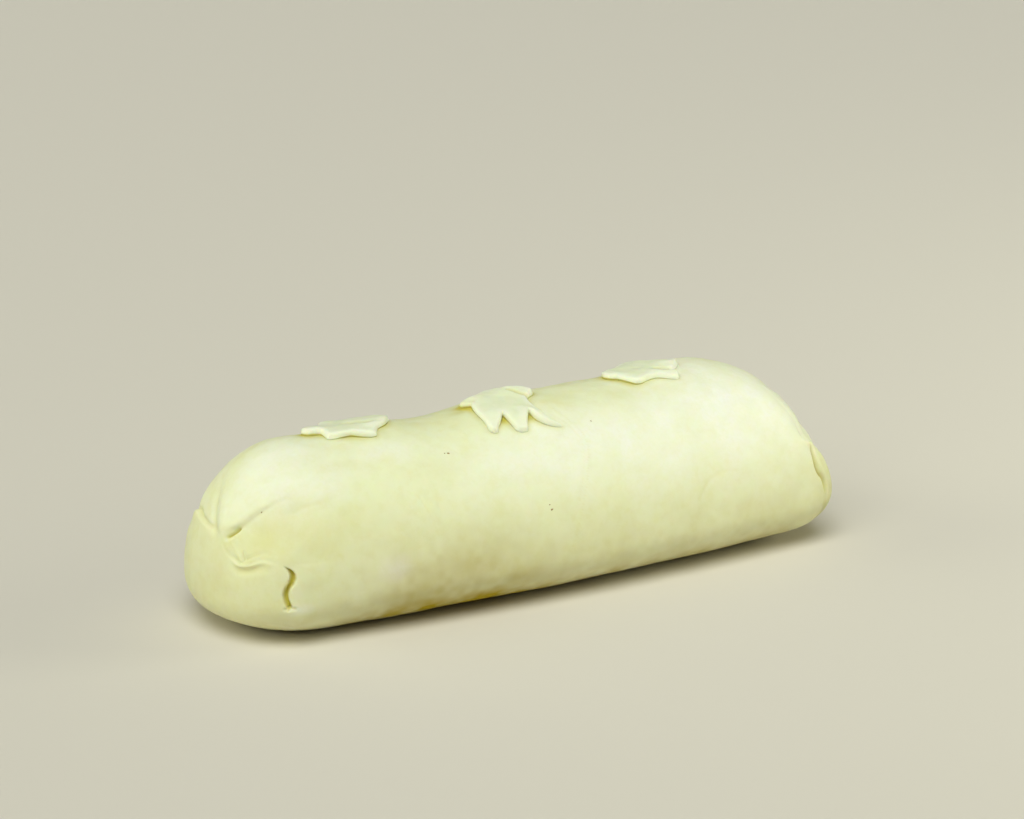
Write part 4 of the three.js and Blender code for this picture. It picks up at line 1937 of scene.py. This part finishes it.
    def build(self, finish: bpy.types.Material) -> bpy.types.Object:
        """Makes the leaf's piece.

        Args:
            finish: The pastry's material.

        Returns:
            The new object.
        """
        net = self.sheet()
        points = self.place.metres(self.layers(net))
        name = f"{self.cut.node}_pastry"
        piece = mesh_object(name, points, self.faces(net), finish, self.looks(net))
        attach(piece, "root")
        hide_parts(self.cut.node)
        return piece


# ---------------------------------------------------------------- bran


@dataclass
class BranFlecks(PastryPiece):
    """Flecks of bran caught in the skin of the dough.

    Attributes:
        flecks: Each as (x along the log, degrees round it, length).
        half_length: Half a fleck's length, over its length.
        half_width: Half its width, over its length.
        half_height: Half its thickness.
        bend: How uneven its outline is.
        rings: Rings of corners between its poles.
        around: Corners on each ring.
    """

    flecks: tuple[Point, ...] = (
        (-46.5, 121.5, 1.3), (-48.1, 121.3, 0.7), (-8.4, 158.8, 1.2), (-9.0, 156.6, 0.7),
        (-132.3, 132.5, 0.9), (24.1, 121.5, 0.8),
        # These lie on the back.
        (-15.0, 35.0, 1.3), (60.0, 52.0, 1.1), (-95.0, 28.0, 1.4), (110.0, 18.0, 1.0),
    )
    half_length: float = 0.5
    half_width: float = 0.28
    half_height: float = 0.16
    bend: float = 0.18
    rings: int = 5
    around: int = 10

    def pip(self, number: int, size: float, normal: Array) -> Array:
        """Shapes one fleck as a small, flat, uneven pip.

        Args:
            number: Which fleck, which gives it its own turn and unevenness.
            size: Its length.
            normal: Outward direction of the skin under it.

        Returns:
            Its corners round its own middle, from pole to pole.
        """
        along = np.cross(normal, (0.3, 0.8, math.sin(number * 2.4)))
        along /= np.linalg.norm(along)
        across = np.cross(normal, along)
        steps = np.linspace(0.0, math.pi, self.rings + 2)[1:-1]
        polar = np.concatenate([[0.0], np.repeat(steps, self.around), [math.pi]])
        turns = np.arange(self.around) * 2 * math.pi / self.around
        turn = np.concatenate([[0.0], np.tile(turns, self.rings), [0.0]])
        wobble = size * (1.0 + self.bend * np.sin(3 * turn + number))
        long = self.half_length * np.sin(polar) * np.cos(turn) * wobble
        wide = self.half_width * np.sin(polar) * np.sin(turn) * wobble
        high = self.half_height * np.cos(polar)
        return long[:, None] * along + wide[:, None] * across + high[:, None] * normal

    def build(self, finish: bpy.types.Material) -> bpy.types.Object:
        """Makes all flecks as one piece.

        Args:
            finish: The bran's material.

        Returns:
            The new object.
        """
        x, degrees, sizes = np.array(self.flecks).T
        at = self.shape.skin(x, np.radians(degrees))
        out = self.shape.outward(at)
        lift, _ = self.relief.of(at, out)
        at = at + out * lift[:, None]
        tube = tube_faces(self.rings, self.around)
        points, faces = [], []
        for number, (middle, normal, size) in enumerate(zip(at, out, sizes)):
            pip = self.pip(number, size, normal)
            points.append(middle + pip)
            faces.append(np.where(tube >= 0, tube + number * len(pip), -1))
        points = self.place.metres(np.vstack(points))
        piece = mesh_object("bran_flecks", points, np.vstack(faces), finish)
        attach(piece, "root")
        return piece


# ---------------------------------------------------------------- studio


class LampKind(Enum):
    """A lamp so far off that its light is even, or a square panel close by."""

    FAR = "SUN"
    PANEL = "AREA"


@dataclass(frozen=True)
class Lamp:
    """One soft lamp.

    Attributes:
        name: Its name.
        kind: Far off or close by.
        azimuth: Where it stands round the part, in degrees.
        elevation: How high it stands, in degrees.
        strength: Its power: watts to a square metre for a far one, watts for a panel.
        size: How wide it looks, in degrees, or a panel's side, in metres.
        tone: Its colour.
        far: Its distance, in metres.
    """

    name: str
    kind: LampKind
    azimuth: float
    elevation: float
    strength: float
    size: float
    tone: str
    far: float = 2.0


@dataclass
class Studio:
    """Pale floor, soft lights and the camera.

    Attributes:
        lens: Focal length of a long portrait lens, in millimetres.
        sensor: Width of the picture behind it, in millimetres.
        azimuth: Where the camera stands round the part, in degrees.
        elevation: How high it stands, in degrees.
        distance: From the part's foot, in metres.
        aim_above: How far above the part's foot it is aimed, in metres.
        aim_beside: How far to its right, in metres.
        roll: Tilt of the horizon, in degrees.
        sight: Nearest and furthest things it sees, in metres.
        foot: The middle of the log's foot, in metres.
        lit_height: Height that the lamps are aimed at, in metres.
        floor_reach: How far the floor reaches each way, in metres.
        air: Brightness of the air all round.
        air_tone: Its colour.
        lamps: All the lamps.
    """

    lens: float = 112.5
    sensor: float = 36.0
    azimuth: float = -31.04
    elevation: float = 19.31
    distance: float = 1.4284
    aim_above: float = 0.0722
    aim_beside: float = 0.0013
    roll: float = -0.905
    sight: Pair = (0.05, 50.0)
    foot: Point = (0.0, -0.0031, 0.0)
    lit_height: float = 0.04
    floor_reach: float = 30.0
    air: float = 0.06
    air_tone: str = "#f2f3ee"
    lamps: tuple[Lamp, ...] = (
        Lamp("overhead_silk", LampKind.FAR, -31.0, 60.0, 1.8, 40.0, "#fbfff7"),
        Lamp("front_silk", LampKind.FAR, -62.0, 40.0, 0.86, 40.0, "#fdffec"),
        Lamp("left_silk", LampKind.FAR, -125.0, 18.0, 0.64, 40.0, "#feffdc"),
        Lamp("right_panel", LampKind.PANEL, 60.0, 17.0, 4.3, 0.5, "#fdffe0", far=1.2),
    )

    def direction(self, azimuth: float, elevation: float) -> Vector:
        """Unit direction from the part towards a place round it."""
        a, e = math.radians(azimuth), math.radians(elevation)
        return Vector((math.sin(a) * math.cos(e), -math.cos(a) * math.cos(e), math.sin(e)))

    def stand_camera(self) -> None:
        """Sets up the camera and aims it at the part."""
        data = bpy.data.cameras.new("camera")
        data.lens = self.lens
        data.sensor_width = self.sensor
        data.clip_start, data.clip_end = self.sight
        camera = bpy.data.objects.new("camera", data)
        bpy.context.scene.collection.objects.link(camera)
        back = self.direction(self.azimuth, self.elevation)
        side = self.direction(self.azimuth + 90.0, 0.0)
        up = back.cross(side)
        foot = Vector(self.foot)
        camera.location = foot + back * self.distance
        aim = foot + up * self.aim_above + side * self.aim_beside
        facing = (aim - camera.location).to_track_quat("-Z", "Y").to_matrix().to_4x4()
        turned = facing @ Matrix.Rotation(math.radians(self.roll), 4, "Z")
        camera.matrix_world = Matrix.Translation(camera.location) @ turned
        bpy.context.scene.camera = camera

    def hang(self, lamp: Lamp) -> None:
        """Hangs one lamp, turned towards the part and itself out of sight.

        Args:
            lamp: Which lamp.
        """
        data = bpy.data.lights.new(lamp.name, lamp.kind.value)
        data.energy = lamp.strength
        data.color = linear(lamp.tone)[:3]
        if lamp.kind is LampKind.PANEL:
            data.shape = "SQUARE"
            data.size = lamp.size
        else:
            data.angle = math.radians(lamp.size)
        hung = bpy.data.objects.new(lamp.name, data)
        bpy.context.scene.collection.objects.link(hung)
        towards = self.direction(lamp.azimuth, lamp.elevation)
        hung.location = Vector((0.0, 0.0, self.lit_height)) + towards * lamp.far
        hung.rotation_mode = "QUATERNION"
        hung.rotation_quaternion = towards.to_track_quat("Z", "Y")
        hung.visible_camera = False

    def lay_floor(self, finish: bpy.types.Material) -> None:
        """Lays the floor.

        Args:
            finish: The floor's material.
        """
        corners = self.floor_reach * np.array([[-1, -1, 0], [1, -1, 0], [1, 1, 0], [-1, 1, 0]])
        made = mesh_object("studio_floor", corners, np.array([[0, 1, 2, 3]]), finish)
        made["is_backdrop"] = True

    def fill_air(self) -> None:
        """Lights the air all round and sets plain viewing."""
        world = bpy.data.worlds.new("studio_air")
        world.use_nodes = True
        background = world.node_tree.nodes["Background"]
        background.inputs["Color"].default_value = linear(self.air_tone)
        background.inputs["Strength"].default_value = self.air
        bpy.context.scene.world = world
        bpy.context.scene.view_settings.view_transform = "Standard"

    def build(self) -> None:
        """Makes the whole studio."""
        self.stand_camera()
        self.lay_floor(StudioPaper().build())
        for lamp in self.lamps:
            self.hang(lamp)
        self.fill_air()


def main() -> None:
    """Builds every piece in order and works out how large the dressed part is."""
    logging.basicConfig(level=logging.INFO, format="%(name)s: %(message)s")
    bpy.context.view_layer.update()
    low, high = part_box(PARCEL_NODE)
    shape = LogShape(length=(high.x - low.x) / MM - 2.0 * Relief.standing)
    relief = Relief(shape)
    place = Place(across=(low.y + high.y) / 2.0 / MM - shape.middle_across())
    LOG.info("log %.1f mm under its flaps, moved %.2f mm across", shape.length, place.across)

    pastry = RawPuffPastry().build()
    # The leaves were cut from a paler, more floury part of the sheet, too thin to soak up light.
    leaf_pastry = RawPuffPastry(
        name="raw_puff_pastry_cut",
        dough="#f3f7db",
        buttery="#eaf0cc",
        floury="#f7fbec",
        soak_mm=1.3,
    ).build()
    pieces = [WrappedFillet(shape, relief, place).build(pastry)]
    pieces += [PastryLeaf(shape, relief, place, cut).build(leaf_pastry) for cut in LEAF_CUTS]
    pieces.append(BranFlecks(shape, relief, place).build(WheatBran().build()))
    for piece in pieces:
        LOG.info("%s: %d faces", piece.name, len(piece.data.polygons))
    Studio().build()

    low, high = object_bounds()


if __name__ == "__main__":
    main()
